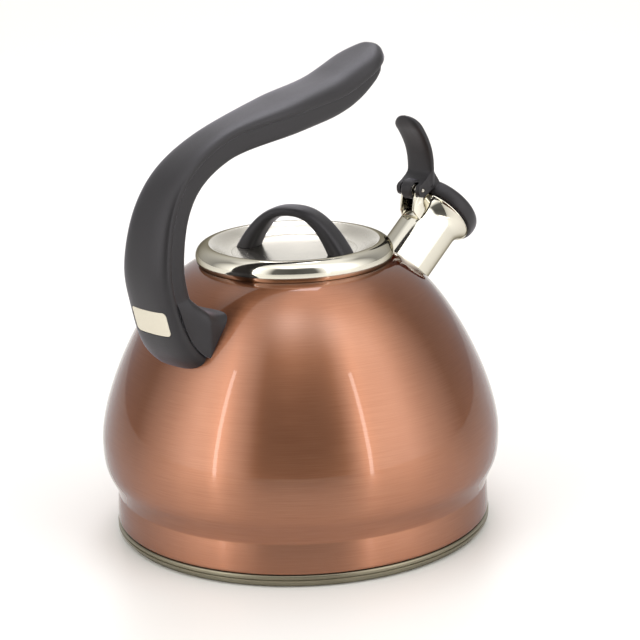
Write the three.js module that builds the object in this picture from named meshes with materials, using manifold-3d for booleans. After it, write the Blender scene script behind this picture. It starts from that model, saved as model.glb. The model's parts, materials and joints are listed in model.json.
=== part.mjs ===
// Stovetop whistling kettle: a drawn steel body with a capsule base, a lift-off lid with a strap grip,
// an arched two-part handle and a spout closed by a sprung whistle cap.
// Millimetres, +Z up. The origin is the centre of the base's underside. The spout points to +X,
// and the handle stands on the -X side and reaches over the lid.
import * as THREE from 'three';
import { mergeVertices } from 'three/addons/utils/BufferGeometryUtils.js';
import Module from 'manifold-3d';

const wasm = await Module();
wasm.setup();

// Clearances
const GAP = 0.3; // between fixed neighbours
const SLOT_GAP = 0.4; // each side of a moving plate in its slot

// Capsule base
const BASE_R = 95;
const PLATE_INSET = 1.8; // how far the bottom plate stands in from the rim
const PLATE_T = 1.9;
const RIM_H = 4;
const RIM_W = 4;
const GROOVE_D = 0.6;
const GROOVE_H = 0.8;

// Body shell
const SHELL_T = 1;
const FOOT_INSET = 0.3; // how far the shell's foot and waist stand in from the rim
const WAIST_INSET = 1;
const WAIST_Z = 21.8;
const BELLY_R = 100.4;
const BELLY_Z = 48;
const LOWER_PULL = 12; // how far the curve keeps its direction above the waist
const LOWER_ANGLE = 74;
const BELLY_PULL_DOWN = 17;
const BELLY_PULL_UP = 24;
const MOUTH_ROLL = 4.3; // width of the roll from the shoulder into the neck
const MOUTH_Z = 136.3;
const MOUTH_ANGLE = 13.8;
const MOUTH_PULL = 26.8;
const NECK_R = 43;
const NECK_DEPTH = 8;

// Lid
const RIM_OVERHANG = 0.2; // from the neck to the middle of the rolled rim
const LID_RIM_Z = 140;
const LID_RIM_HALF_W = 6.1;
const LID_RIM_HALF_H = 6;
const LID_RIM_T = 1.2;
const LID_TOP_Z = 141;
const LID_T = 1;
const LEDGE_W = 2.5;
const DISH_W = 11.9; // from the rim's crest in to the flat disc
const DISH_CREST = 2.7; // how far the slope stays level at its crest and at the disc
const DISH_FOOT = 5.7;
const SKIRT_T = 1;
const SKIRT_Z = 126;
const NECK_CLEARANCE = 0.8;

// Lid grip
const ARCH_YAW = -73;
const ARCH_INSET = 5.2; // from the disc's edge to the middle of the grip's foot
const ARCH_RISE = 20;
const ARCH_POWER = 2.4;
const ARCH_FOOT_HALF_W = 7;
const ARCH_TOP_HALF_W = 6;
const ARCH_FOOT_T = 9.6;
const ARCH_TOP_T = 5;
const LID_SCREW_R = 1.4;
const LID_SCREW_LENGTH = 8;
const LID_SCREW_INSET = 1.6;
const LID_HEAD_R = 3;
const LID_HEAD_H = 2;
const WASHER_R = 4;
const WASHER_T = 0.8;

// Spout, along its own axis from a reference point
const SPOUT_X = 84;
const SPOUT_Z = 122.2;
const SPOUT_TILT = 37.6;
const SPOUT_R = 15.1;
const SPOUT_T = 1.2;
const SPOUT_START = -20;
const FLARE_START = 20;
const LIP_AT = 28.2;
const LIP_R = 19.1;

// Cap bracket, along the spout axis and out from it
const BRACKET_HALF_W = 5;
const BRACKET_BASE_HALF_W = 6.6;
const BRACKET_T = 1.2;
const BRACKET_START = 13;
const BRACKET_FRONT = 27.4;
const SHOULDER_RISE = 4.7; // heights above the spout tube
const BACK_RISE = 11.9;
const BRACKET_EYE_R = 3;

// Pivot of the cap, in the spout's frame
const PIVOT_ALONG = 23.7;
const PIVOT_RISE = 10.3; // above the spout tube
const PIN_R = 1;
const EAR_R = 3.7;
const EAR_OUTER = 8;

// Whistle cap and thumb lever
const CAP_R = 21;
const CAP_RIM_R = 20;
const CAP_BACK_R = 17;
const CAP_H = 9.6;
const CAP_OPENING_R = 8;
const CAP_LIP_GAP = 0.5;
const CAP_MOUTH_R = 18.2;
const CAP_MOUTH_DEPTH = 2.8;
const WHISTLE_R = 12.3;
const WHISTLE_PLATE_T = 0.8;
const WHISTLE_HOLE_R = 1.5;
const WHISTLE_RING_W = 2.2;
const LEVER_HALF_W = 8.8;
const LEVER_T = 4;
const LEVER_TIP_ROUND = 5.5;
const LEVER_TIP_X = -5.2;
const LEVER_TIP_Z = 39.4;
const SLOT_TOP = 4.1;
const SLOT_FRONT = 7.6;
const SPRING_SPACE_R = 4;
const TONGUE_R = 5.2;

// Cap spring
const WIRE_R = 0.5;
const COIL_R = 2.4;
const COIL_TURNS = 4;
const COIL_HALF_W = 2.4;
const FIXED_LEG = 6;
const MOVING_LEG = 1.2;

// Handle
const STRAP_END_HALF_W = 18.1;
const STRAP_HALF_W = 15.8;
const BEND_HALF_W = 11;
const GRIP_HALF_W = 16.9;
const TIP_HALF_W = 16.2;
const FOOT_END_CROWN = 7;
const FOOT_CROWN = 5.1;
const BEND_CROWN = 2.9;
const GRIP_CROWN = 6.9;
const TIP_CROWN = 4.6;
const SHELL_EDGE = 1.4;
const TIP_ROUND = 20; // length over which the tip rounds off, seen from above
const TIP_EDGE_ROUND = 3.4; // and seen from the side
const CORE_T = 9.9;
const CORE_INSET = 0.7;
const CORE_TIP_GAP = 11.9; // how far the core stops short of the tip
const CORE_TIP_ROUND = 61;
const FOOT_HALF_W = 20.5;
const FOOT_ROOT_HALF_W = 16.4; // half width where the foot leaves the strap
const FOOT_TOP_OUT = 138; // height of the foot's top where it leaves the strap, and at the body
const FOOT_TOP_IN = 125.6;
const FOOT_LOW = 97;
const BADGE_W = 24;
const BADGE_H = 12.5;
const BADGE_T = 1.2;
const BADGE_CORNER = 2.5;
const BADGE_Z = 125.8;
const HANDLE_SCREW_R = 1.6;
const HANDLE_SCREW_Y = 6;
const HANDLE_SCREW_Z = 122.8;
const HANDLE_SCREW_LENGTH = 11;
const HANDLE_HEAD_R = 2.6;
const HANDLE_HEAD_H = 2;
const HANDLE_HEAD_X = -86.5;
const HANDLE_BRACKET_X = -82;
const HANDLE_BRACKET_HALF_W = 10;
const HANDLE_BRACKET_T = 1.5;
const HANDLE_BRACKET_LOW = 113.5;
const HANDLE_BRACKET_WALL_HIGH = 121;
const HANDLE_BRACKET_HIGH = 127;

// Worked out from the above
const BODY_FLOOR_Z = PLATE_T + GAP + RIM_H + GAP;
const PLATE_R = BASE_R - PLATE_INSET;
const FOOT_R = BASE_R - FOOT_INSET;
const WAIST_R = BASE_R - WAIST_INSET;
const MOUTH_R = NECK_R + MOUTH_ROLL;
const LID_RIM_R = NECK_R + RIM_OVERHANG;
const LID_R = LID_RIM_R - DISH_W - GAP;
const ARCH_HALF_SPAN = LID_R - ARCH_INSET;
const BRACKET_SHOULDER = SPOUT_R + SHOULDER_RISE;
const BRACKET_BACK_TOP = SPOUT_R + BACK_RISE;
const PIVOT_OUT = SPOUT_R + PIVOT_RISE;
const CAP_AT = LIP_AT + CAP_LIP_GAP;
const SPOUT_FRAME = new THREE.Matrix4()
  .makeRotationY(THREE.MathUtils.degToRad(90 - SPOUT_TILT))
  .setPosition(SPOUT_X, 0, SPOUT_Z);
const PIVOT = new THREE.Vector3(-PIVOT_OUT, 0, PIVOT_ALONG).applyMatrix4(SPOUT_FRAME);

const COPPER = { color: 0xa87058, roughness: 0.28, metalness: 0.9 };
const MIRROR = { color: 0xdcdcda, roughness: 0.06, metalness: 1 };
const SATIN = { color: 0xb4aea6, roughness: 0.35, metalness: 1 };
const DULL_STEEL = { color: 0x8a8878, roughness: 0.45, metalness: 1 };
const ALUMINIUM = { color: 0xb8babc, roughness: 0.5, metalness: 1 };
const BLACK = { color: 0x4a4648, roughness: 0.6, metalness: 0 };
const BADGE = { color: 0xe8e2d0, roughness: 0.3, metalness: 0.9 };

function v2(x, y) {
  return new THREE.Vector2(x, y);
}

// Turns a closed geometry into a solid for cutting and joining, with its faces turned outward.
function toSolid(geometry) {
  const bare = new THREE.BufferGeometry();
  bare.setAttribute('position', geometry.getAttribute('position'));
  bare.setIndex(geometry.index);
  const merged = mergeVertices(bare, 1e-4);
  const corner = (i) => new THREE.Vector3().fromBufferAttribute(merged.getAttribute('position'), i);
  const index = merged.index.array;
  const kept = [];
  let volume = 0;
  for (let i = 0; i < index.length; i += 3) {
    const [a, b, c] = [index[i], index[i + 1], index[i + 2]];
    if (a !== b && b !== c && c !== a) kept.push(a, b, c);
    volume += corner(a).dot(corner(b).cross(corner(c)));
  }
  if (volume < 0) kept.reverse();
  return new wasm.Manifold(new wasm.Mesh({
    numProp: 3,
    vertProperties: new Float32Array(merged.getAttribute('position').array),
    triVerts: new Uint32Array(kept),
  }));
}

// Turns a solid back into a geometry.
function toGeometry(solid) {
  const mesh = solid.getMesh();
  const geometry = new THREE.BufferGeometry();
  geometry.setAttribute('position', new THREE.BufferAttribute(mesh.vertProperties, 3));
  geometry.setIndex(new THREE.BufferAttribute(mesh.triVerts, 1));
  geometry.computeVertexNormals();
  return geometry;
}

function joined(...solids) {
  return solids.reduce((sum, solid) => sum.add(solid));
}

function cut(solid, ...tools) {
  return tools.reduce((rest, tool) => rest.subtract(tool), solid);
}

function moved(solid, matrix) {
  return toSolid(toGeometry(solid).applyMatrix4(matrix));
}

// A solid of revolution about +Z from a closed outline of (radius, height) points.
function turned(outline, segments) {
  const geometry = new THREE.LatheGeometry([...outline, outline[0]], segments);
  return toSolid(geometry.rotateX(Math.PI / 2));
}

// A straight cylinder or tube along +Z.
function rod(radius, low, high, segments = 24) {
  return turned([v2(0, low), v2(radius, low), v2(radius, high), v2(0, high)], segments);
}

function ring(inner, outer, low, high, segments = 48) {
  return turned([v2(inner, low), v2(outer, low), v2(outer, high), v2(inner, high)], segments);
}

function block(x0, x1, y0, y1, z0, z1) {
  const geometry = new THREE.BoxGeometry(x1 - x0, y1 - y0, z1 - z0);
  return toSolid(geometry.translate((x0 + x1) / 2, (y0 + y1) / 2, (z0 + z1) / 2));
}

// A plate whose outline lies in the XZ plane, between two Y values.
function sidePlate(shape, y0, y1, curveSegments = 8) {
  const geometry = new THREE.ExtrudeGeometry(shape, { depth: y1 - y0, bevelEnabled: false, curveSegments });
  return toSolid(geometry.rotateX(Math.PI / 2).translate(0, y1, 0));
}

// A closed skin through rings of equally many points, with flat ends.
function lofted(rings) {
  const count = rings[0].length;
  const points = rings.flat();
  const index = [];
  for (let i = 0; i + 1 < rings.length; i += 1) {
    for (let j = 0; j < count; j += 1) {
      const [a, b] = [i * count + j, i * count + ((j + 1) % count)];
      index.push(a, b, b + count, a, b + count, a + count);
    }
  }
  for (const [first, turn] of [[0, 1], [(rings.length - 1) * count, -1]]) {
    const middle = new THREE.Vector3();
    for (let j = 0; j < count; j += 1) middle.addScaledVector(points[first + j], 1 / count);
    points.push(middle);
    for (let j = 0; j < count; j += 1) {
      const pair = [first + j, first + ((j + 1) % count)];
      if (turn > 0) pair.reverse();
      index.push(points.length - 1, ...pair);
    }
  }
  const geometry = new THREE.BufferGeometry().setFromPoints(points);
  geometry.setIndex(index);
  return toSolid(geometry);
}

// A number raised to a power that keeps its sign.
function bent(value, power) {
  return Math.sign(value) * Math.abs(value) ** power;
}

// Moves an outline sideways by a distance, to its left as it is walked.
function offset(points, distance) {
  return points.map((point, i) => {
    const before = points[Math.max(i - 1, 0)];
    const after = points[Math.min(i + 1, points.length - 1)];
    const a = point.clone().sub(before);
    const b = after.clone().sub(point);
    if (i === 0) a.copy(b);
    if (i === points.length - 1) b.copy(a);
    a.normalize();
    b.normalize();
    const normal = v2(-(a.y + b.y), a.x + b.x).normalize();
    const spread = 1 / Math.max(normal.dot(v2(-a.y, a.x)), 0.5);
    return point.clone().addScaledVector(normal, distance * spread);
  });
}

// The body's outer outline, from the floor's middle to the bottom of the turned-in neck.
function bodyOutline(lowerSteps, upperSteps, rollSteps) {
  const [rise, mouth] = [LOWER_ANGLE, MOUTH_ANGLE].map(THREE.MathUtils.degToRad);
  const belly = v2(BELLY_R, BELLY_Z);
  const waist = v2(WAIST_R, WAIST_Z);
  const top = v2(MOUTH_R, MOUTH_Z);
  const lower = new THREE.CubicBezierCurve(
    waist,
    v2(WAIST_R + LOWER_PULL * Math.cos(rise), WAIST_Z + LOWER_PULL * Math.sin(rise)),
    v2(BELLY_R, BELLY_Z - BELLY_PULL_DOWN),
    belly,
  );
  const upper = new THREE.CubicBezierCurve(
    belly,
    v2(BELLY_R, BELLY_Z + BELLY_PULL_UP),
    v2(MOUTH_R + MOUTH_PULL * Math.cos(mouth), MOUTH_Z - MOUTH_PULL * Math.sin(mouth)),
    top,
  );
  const crest = v2(NECK_R, MOUTH_Z + (MOUTH_R - NECK_R) * Math.tan(mouth));
  const roll = new THREE.QuadraticBezierCurve(top, crest, v2(NECK_R, MOUTH_Z - (MOUTH_R - NECK_R)));
  return [
    v2(0, BODY_FLOOR_Z),
    v2(FOOT_R - 1, BODY_FLOOR_Z),
    v2(FOOT_R, BODY_FLOOR_Z + 1),
    ...lower.getPoints(lowerSteps),
    ...upper.getPoints(upperSteps).slice(1),
    ...roll.getPoints(rollSteps).slice(1),
    v2(NECK_R, MOUTH_Z - NECK_DEPTH),
  ];
}

// The body as a full solid, grown by a clearance, for what stands on it.
function bodySolid(clearance) {
  const skin = offset(bodyOutline(4, 8, 2), -clearance);
  const rim = skin[skin.length - 1];
  return turned([v2(0, skin[0].y), ...skin.slice(1), v2(0, rim.y)], 56);
}

function bodyShell() {
  const outer = bodyOutline(4, 8, 2);
  const inner = offset(bodyOutline(3, 6, 1), SHELL_T);
  inner[0].set(0, BODY_FLOOR_Z + SHELL_T);
  const shell = turned([...outer, ...inner.reverse()], 56);
  const bore = moved(rod(SPOUT_R - SPOUT_T, SPOUT_START - 10, 0, 32), SPOUT_FRAME);
  return cut(shell, bore);
}

function basePlate() {
  return rod(PLATE_R, 0, PLATE_T, 56);
}

function baseRim() {
  const low = PLATE_T + GAP;
  const middle = low + RIM_H / 2;
  const inner = BASE_R - RIM_W;
  return turned([
    v2(inner, low),
    v2(BASE_R - 0.3, low),
    v2(BASE_R, low + 0.5),
    v2(BASE_R, middle - GROOVE_H / 2),
    v2(BASE_R - GROOVE_D, middle),
    v2(BASE_R, middle + GROOVE_H / 2),
    v2(BASE_R, low + RIM_H),
    v2(inner, low + RIM_H),
  ], 56);
}

function baseCore() {
  const low = PLATE_T + GAP;
  return rod(BASE_R - RIM_W - GAP, low, low + RIM_H, 56);
}

// Points round an upright ellipse between two angles in degrees.
function ellipse(halfWidth, halfHeight, from, to, count) {
  return Array.from({ length: count + 1 }, (_, i) => {
    const angle = THREE.MathUtils.degToRad(from + (to - from) * i / count);
    return v2(LID_RIM_R + halfWidth * Math.cos(angle), LID_RIM_Z + halfHeight * Math.sin(angle));
  });
}

// The rolled rim, open below, with the ledge that the lid plate lies on.
// The rim's inner slope, from its crest down to the edge of the flat disc.
function dishSlope(crest, inner, low) {
  return new THREE.CubicBezierCurve(
    v2(LID_RIM_R, crest),
    v2(LID_RIM_R - DISH_CREST, crest),
    v2(inner + DISH_FOOT, low),
    v2(inner, low),
  ).getPoints(8);
}

function lidRim() {
  const ledgeTop = LID_TOP_Z - LID_T - GAP;
  const crest = LID_RIM_Z + LID_RIM_HALF_H;
  const inner = LID_RIM_R - DISH_W;
  return turned([
    ...ellipse(LID_RIM_HALF_W, LID_RIM_HALF_H, -37, 85, 7),
    ...dishSlope(crest, inner, LID_TOP_Z),
    v2(inner, ledgeTop),
    v2(inner - LEDGE_W, ledgeTop),
    v2(inner - LEDGE_W, ledgeTop - LID_T),
    ...dishSlope(crest - LID_RIM_T, inner + LID_T, ledgeTop - LID_T).reverse(),
    ...ellipse(LID_RIM_HALF_W - LID_RIM_T, LID_RIM_HALF_H - LID_RIM_T, 85, -37, 6),
  ], 56);
}

function lidSkirt() {
  const outer = NECK_R - NECK_CLEARANCE;
  const top = LID_RIM_Z + LID_RIM_HALF_H - LID_RIM_T - 4 * GAP;
  return ring(outer - SKIRT_T, outer, SKIRT_Z, top, 56);
}

// Where the two lid screws stand, along the grip.
function lidScrewPlaces() {
  const x = ARCH_HALF_SPAN - LID_SCREW_INSET;
  return [-x, x];
}

function lidPlate() {
  const plate = rod(LID_R, LID_TOP_Z - LID_T, LID_TOP_Z, 56);
  const holes = lidScrewPlaces().map((x) => moved(
    rod(LID_SCREW_R + GAP, LID_TOP_Z - 2 * LID_T, LID_TOP_Z + LID_T),
    new THREE.Matrix4().makeTranslation(x, 0, 0),
  ));
  return cut(plate, ...holes);
}

function lidScrew() {
  const underPlate = LID_TOP_Z - LID_T - GAP - WASHER_T - GAP;
  return joined(
    rod(LID_HEAD_R, underPlate - LID_HEAD_H, underPlate, 16),
    rod(LID_SCREW_R, underPlate - LID_HEAD_H / 2, underPlate + LID_SCREW_LENGTH, 16),
  );
}

function lidWasher() {
  const top = LID_TOP_Z - LID_T - GAP;
  return ring(LID_SCREW_R + GAP, WASHER_R, top - WASHER_T, top, 20);
}

// The grip's middle line, from foot to foot.
function archPoint(x) {
  const rise = ARCH_RISE * (1 - Math.abs(x / ARCH_HALF_SPAN) ** ARCH_POWER);
  return v2(x, LID_TOP_Z + rise);
}

function lidArch() {
  const rings = [];
  const steps = 20;
  for (let i = 0; i <= steps; i += 1) {
    const x = ARCH_HALF_SPAN * 1.06 * Math.sin((i / steps - 0.5) * Math.PI * 0.98);
    const here = archPoint(x);
    const normal = archPoint(x + 0.01).sub(archPoint(x - 0.01)).normalize().rotateAround(v2(0, 0), Math.PI / 2);
    const low = Math.min(Math.abs(x) / ARCH_HALF_SPAN, 1) ** 2;
    const halfW = THREE.MathUtils.lerp(ARCH_TOP_HALF_W, ARCH_FOOT_HALF_W, low);
    const halfT = THREE.MathUtils.lerp(ARCH_TOP_T, ARCH_FOOT_T, low) / 2;
    rings.push(Array.from({ length: 16 }, (_, j) => {
      const angle = (j + 0.5) / 16 * 2 * Math.PI;
      const across = halfW * bent(Math.cos(angle), 0.6);
      const out = halfT * bent(Math.sin(angle), 0.7);
      return new THREE.Vector3(here.x + normal.x * out, across, here.y + normal.y * out);
    }));
  }
  const half = 2 * ARCH_HALF_SPAN;
  const below = block(-half, half, -half, half, LID_TOP_Z - half, LID_TOP_Z + GAP);
  const top = LID_TOP_Z - LID_T - WASHER_T - 2 * GAP + LID_SCREW_LENGTH + GAP;
  const holes = lidScrewPlaces().map((x) => moved(
    rod(LID_SCREW_R + GAP, LID_TOP_Z - 1, top, 16),
    new THREE.Matrix4().makeTranslation(x, 0, 0),
  ));
  return cut(lofted(rings), below, ...holes);
}

// The spout's outline, flared to its lip, grown by a clearance or hollow.
function spoutSkin(clearance) {
  const flare = new THREE.QuadraticBezierCurve(
    v2(SPOUT_R, FLARE_START),
    v2(SPOUT_R, LIP_AT - SPOUT_T),
    v2(LIP_R, LIP_AT - SPOUT_T / 2),
  );
  return offset([v2(SPOUT_R, SPOUT_START), ...flare.getPoints(4)], -clearance);
}

function spoutTube() {
  const outer = spoutSkin(0);
  const inner = spoutSkin(-SPOUT_T);
  inner[inner.length - 1].set(LIP_R - SPOUT_T, LIP_AT);
  const tube = turned([...outer, v2(LIP_R, LIP_AT), ...inner.reverse()], 40);
  return cut(tube, moved(bodySolid(GAP), SPOUT_FRAME.clone().invert()));
}

// The spout as a full bar, grown by a clearance, for what stands on it.
function spoutBody(clearance) {
  const rim = LIP_R + clearance;
  const end = LIP_AT + clearance;
  return turned([v2(0, SPOUT_START), ...spoutSkin(clearance), v2(rim, end), v2(0, end)], 40);
}

// A bar along the spout axis with a channel's outside as its section: upright walls over a splayed base.
function channelBar(inset, low) {
  const [half, base] = [BRACKET_HALF_W - inset, BRACKET_BASE_HALF_W - inset];
  const high = PIVOT_OUT + 2 * BRACKET_EYE_R;
  const section = new THREE.Shape();
  section.moveTo(-low, -base);
  section.lineTo(-BRACKET_SHOULDER, -half);
  section.lineTo(-high, -half);
  section.lineTo(-high, half);
  section.lineTo(-BRACKET_SHOULDER, half);
  section.lineTo(-low, base);
  return toSolid(new THREE.ExtrudeGeometry(section, { depth: 2 * LIP_AT, bevelEnabled: false }));
}

// The folded channel on the spout: two side plates with eyes for the pin, on a web that follows the tube.
function capBracket() {
  const low = SPOUT_R * 0.8;
  const outline = new THREE.Shape();
  outline.moveTo(-low, BRACKET_START);
  outline.lineTo(-BRACKET_SHOULDER, BRACKET_START + 0.8);
  outline.lineTo(-BRACKET_BACK_TOP, PIVOT_ALONG - BRACKET_EYE_R * 0.7);
  outline.absarc(-PIVOT_OUT, PIVOT_ALONG, BRACKET_EYE_R, Math.PI * 1.25, Math.PI * 0.35, true);
  outline.lineTo(-BRACKET_SHOULDER, BRACKET_FRONT);
  outline.lineTo(-low, BRACKET_FRONT);
  const hollow = cut(
    channelBar(BRACKET_T, low),
    rod(SPOUT_R + GAP + BRACKET_T, SPOUT_START, 2 * LIP_AT, 48),
  );
  return cut(
    cut(sidePlate(outline, -BRACKET_BASE_HALF_W, BRACKET_BASE_HALF_W).intersect(channelBar(0, low)), hollow),
    spoutBody(GAP),
    moved(rodAcross(PIN_R + GAP, EAR_OUTER), new THREE.Matrix4().makeTranslation(-PIVOT_OUT, 0, PIVOT_ALONG)),
  );
}

function pivotPin() {
  return moved(rod(PIN_R, -EAR_OUTER, EAR_OUTER, 16), new THREE.Matrix4().makeRotationX(Math.PI / 2));
}

// The spring's wire: a fixed leg on the bracket's web, the coil on the pin, and a leg under the tongue.
class SpringWire extends THREE.Curve {
  getPoint(t, target = new THREE.Vector3()) {
    const turn = 2 * Math.PI * COIL_TURNS;
    const coil = turn * COIL_R;
    const along = t * (FIXED_LEG + coil + MOVING_LEG);
    const angle = THREE.MathUtils.clamp((along - FIXED_LEG) / coil, 0, 1) * turn;
    const y = COIL_HALF_W * (2 * angle / turn - 1);
    const past = along < FIXED_LEG ? along - FIXED_LEG : Math.max(along - FIXED_LEG - coil, 0);
    return target.set(
      COIL_R * Math.cos(angle) - past * Math.sin(angle),
      y,
      COIL_R * Math.sin(angle) + past * Math.cos(angle),
    );
  }
}

function capSpring() {
  const round = new THREE.Shape();
  round.absarc(0, 0, WIRE_R, 0, 2 * Math.PI);
  const wire = new THREE.ExtrudeGeometry(round, {
    steps: 10 * COIL_TURNS + 8,
    curveSegments: 3,
    bevelEnabled: false,
    extrudePath: new SpringWire(),
  });
  return toSolid(wire);
}

// The cap's cup, in the spout's frame.
function capCup() {
  const back = CAP_AT + CAP_H;
  const seat = CAP_AT + CAP_MOUTH_DEPTH;
  return turned([
    v2(CAP_RIM_R, CAP_AT),
    v2(CAP_R, CAP_AT + CAP_H * 0.35),
    v2(CAP_R - 0.3, CAP_AT + CAP_H * 0.65),
    v2(CAP_R - 1.6, CAP_AT + CAP_H * 0.86),
    v2(CAP_BACK_R, back - 0.4),
    v2(CAP_OPENING_R + 2, back),
    v2(CAP_OPENING_R, back - 1),
    v2(CAP_OPENING_R, back - 2),
    v2(WHISTLE_R + GAP, back - 2),
    v2(WHISTLE_R + GAP, seat),
    v2(CAP_MOUTH_R, seat),
    v2(CAP_MOUTH_R, CAP_AT),
  ], 40);
}

// The lever's blade, in a frame on the pivot: it bows away from the handle and ends in a rounded lip.
function leverBlade() {
  const line = new THREE.CubicBezierCurve(
    v2(6.6, 1.5),
    v2(8.6, 16),
    v2(8, 24),
    v2(LEVER_TIP_X, LEVER_TIP_Z),
  );
  const rings = [];
  const steps = 12;
  for (let i = 0; i <= steps; i += 1) {
    const t = Math.sin(i / steps * Math.PI / 2);
    const here = line.getPoint(t);
    const normal = line.getTangent(t).rotateAround(v2(0, 0), -Math.PI / 2);
    const left = Math.max((1 - t) * line.getLength(), 0);
    const round = Math.sqrt(1 - (1 - Math.min(left / LEVER_TIP_ROUND, 1)) ** 2);
    const halfW = LEVER_HALF_W * Math.max(round, 0.05);
    const halfT = LEVER_T / 2 * Math.max(round, 0.3) * (1 + 0.25 * t);
    rings.push(Array.from({ length: 16 }, (_, j) => {
      const angle = (j + 0.5) / 16 * 2 * Math.PI;
      const across = halfW * bent(Math.cos(angle), 0.6);
      const dish = 0.9 * t * (across / LEVER_HALF_W) ** 2;
      const out = halfT * bent(Math.sin(angle), 0.7) - dish;
      return new THREE.Vector3(here.x + normal.x * out, across, here.y + normal.y * out);
    }));
  }
  return lofted(rings);
}

// Lever, ears, tongue and cap in one moulding, in a frame on the pivot.
function thumbLever() {
  const toPivot = new THREE.Matrix4().makeTranslation(-PIVOT.x, 0, -PIVOT.z).multiply(SPOUT_FRAME);
  const [nearEdge, farEdge] = [[CAP_AT + 1.4, CAP_RIM_R + 0.4], [CAP_AT + CAP_H * 0.75, CAP_R - 1.6]]
    .map(([along, out]) => new THREE.Vector3(-out, 0, along).applyMatrix4(toPivot));
  const yoke = new THREE.Shape();
  yoke.moveTo(8.8, 9);
  yoke.lineTo(5.6, 9);
  yoke.quadraticCurveTo(4, 6, -1.4, 4.5);
  yoke.absarc(0, 0, EAR_R, Math.PI * 0.6, Math.PI * 1.7, false);
  yoke.lineTo(nearEdge.x, nearEdge.z);
  yoke.lineTo(farEdge.x, farEdge.z);
  const slotInner = BRACKET_HALF_W - BRACKET_T - SLOT_GAP;
  const slotOuter = BRACKET_HALF_W + SLOT_GAP;
  const tongue = rodAcross(TONGUE_R, slotInner);
  const tongueEnd = block(-TONGUE_R / 3, 2 * EAR_R, -slotInner, slotInner, -2 * EAR_R, -TONGUE_R / 4);
  return cut(
    joined(
      cut(
        joined(sidePlate(yoke, -EAR_OUTER, EAR_OUTER), tongue),
        block(-2 * EAR_R, SLOT_FRONT, slotInner, slotOuter, -2 * EAR_R, SLOT_TOP),
        block(-2 * EAR_R, SLOT_FRONT, -slotOuter, -slotInner, -2 * EAR_R, SLOT_TOP),
        tongueEnd,
      ),
      leverBlade(),
      moved(capCup(), toPivot),
    ),
    rodAcross(SPRING_SPACE_R, slotOuter),
    rodAcross(PIN_R + GAP, 2 * EAR_OUTER),
  );
}

// A cylinder about the pivot's axis, in a frame on the pivot.
function rodAcross(radius, halfWidth) {
  return moved(rod(radius, -halfWidth, halfWidth, 24), new THREE.Matrix4().makeRotationX(Math.PI / 2));
}

// The whistle's stack, counted along the spout axis from the cap's seat.
function whistlePlate(at) {
  return ring(WHISTLE_HOLE_R, WHISTLE_R, at, at + WHISTLE_PLATE_T, 32);
}

function whistleRing(low, high) {
  return ring(WHISTLE_R - WHISTLE_RING_W, WHISTLE_R, low, high, 32);
}

// The handle's crease, from the foot over the lid to the tip, as (x, z).
function handleLine() {
  return new THREE.CatmullRomCurve3([
    [-71.2, 100],
    [-84.9, 112.4],
    [-93.6, 137.1],
    [-94.9, 151.7],
    [-88.9, 175.8],
    [-76.9, 192],
    [-53.1, 205],
    [-8.1, 213.4],
    [27.2, 219.1],
    [60.9, 234.4],
  ].map(([x, z]) => new THREE.Vector3(x, 0, z)), false, 'centripetal');
}

// A size at a fraction of the handle's length, blended smoothly between [fraction, size] stations.
function blended(stations, at) {
  const next = stations.findIndex(([place]) => place > at);
  if (next === 0) return stations[0][1];
  if (next < 0) return stations[stations.length - 1][1];
  const [[from, before], [to, after]] = [stations[next - 1], stations[next]];
  return THREE.MathUtils.lerp(before, after, THREE.MathUtils.smoothstep(at, from, to));
}

// A stretch of the handle: its section is given for a fraction of the length and the distance left to the tip.
function handleLoft(section, steps) {
  const line = handleLine();
  const length = line.getLength();
  const rings = [];
  for (let i = 0; i <= steps; i += 1) {
    const t = i < steps * 0.7 ? i / steps : 1 - 0.3 * (1 - Math.sin((i / steps - 0.7) / 0.3 * Math.PI / 2));
    const here = line.getPointAt(t);
    const run = line.getTangentAt(t);
    rings.push(section(t, (1 - t) * length).map(([across, out]) => new THREE.Vector3(
      here.x - run.z * out,
      across,
      here.z + run.x * out,
    )));
  }
  return lofted(rings);
}

// A quarter round that falls from 1 to almost 0 over the last stretch.
function tipFade(left, stretch) {
  const rest = THREE.MathUtils.clamp(left / stretch, 0, 1);
  return Math.sqrt(Math.max(1 - (1 - rest) ** 2, 0.002));
}

// Half the handle's width: narrow at the bend, wide in the grip, round at the tip.
function handleHalfWidth(at, left) {
  return tipFade(left, TIP_ROUND) * blended([
    [0, STRAP_END_HALF_W],
    [0.18, STRAP_HALF_W],
    [0.53, BEND_HALF_W],
    [0.73, GRIP_HALF_W],
    [0.95, TIP_HALF_W],
  ], at);
}

function handleCrownHeight(at) {
  return blended([
    [0.03, FOOT_END_CROWN],
    [0.15, FOOT_CROWN],
    [0.5, BEND_CROWN],
    [0.87, GRIP_CROWN],
    [1, TIP_CROWN],
  ], at);
}

// The crowned outer half, lowered by a depth for the badge's seat.
function handleCrown(depth) {
  const count = 16;
  return handleLoft((at, left) => {
    const half = handleHalfWidth(at, left);
    const crown = handleCrownHeight(at) - depth;
    return Array.from({ length: count }, (_, j) => {
      const angle = (j + 0.5) / count * 2 * Math.PI;
      const out = angle < Math.PI ? crown * bent(Math.sin(angle), 0.9) : SHELL_EDGE * bent(Math.sin(angle), 0.3);
      return [half * bent(Math.cos(angle), 0.75), out * tipFade(left, TIP_EDGE_ROUND)];
    });
  }, 34);
}

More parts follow.
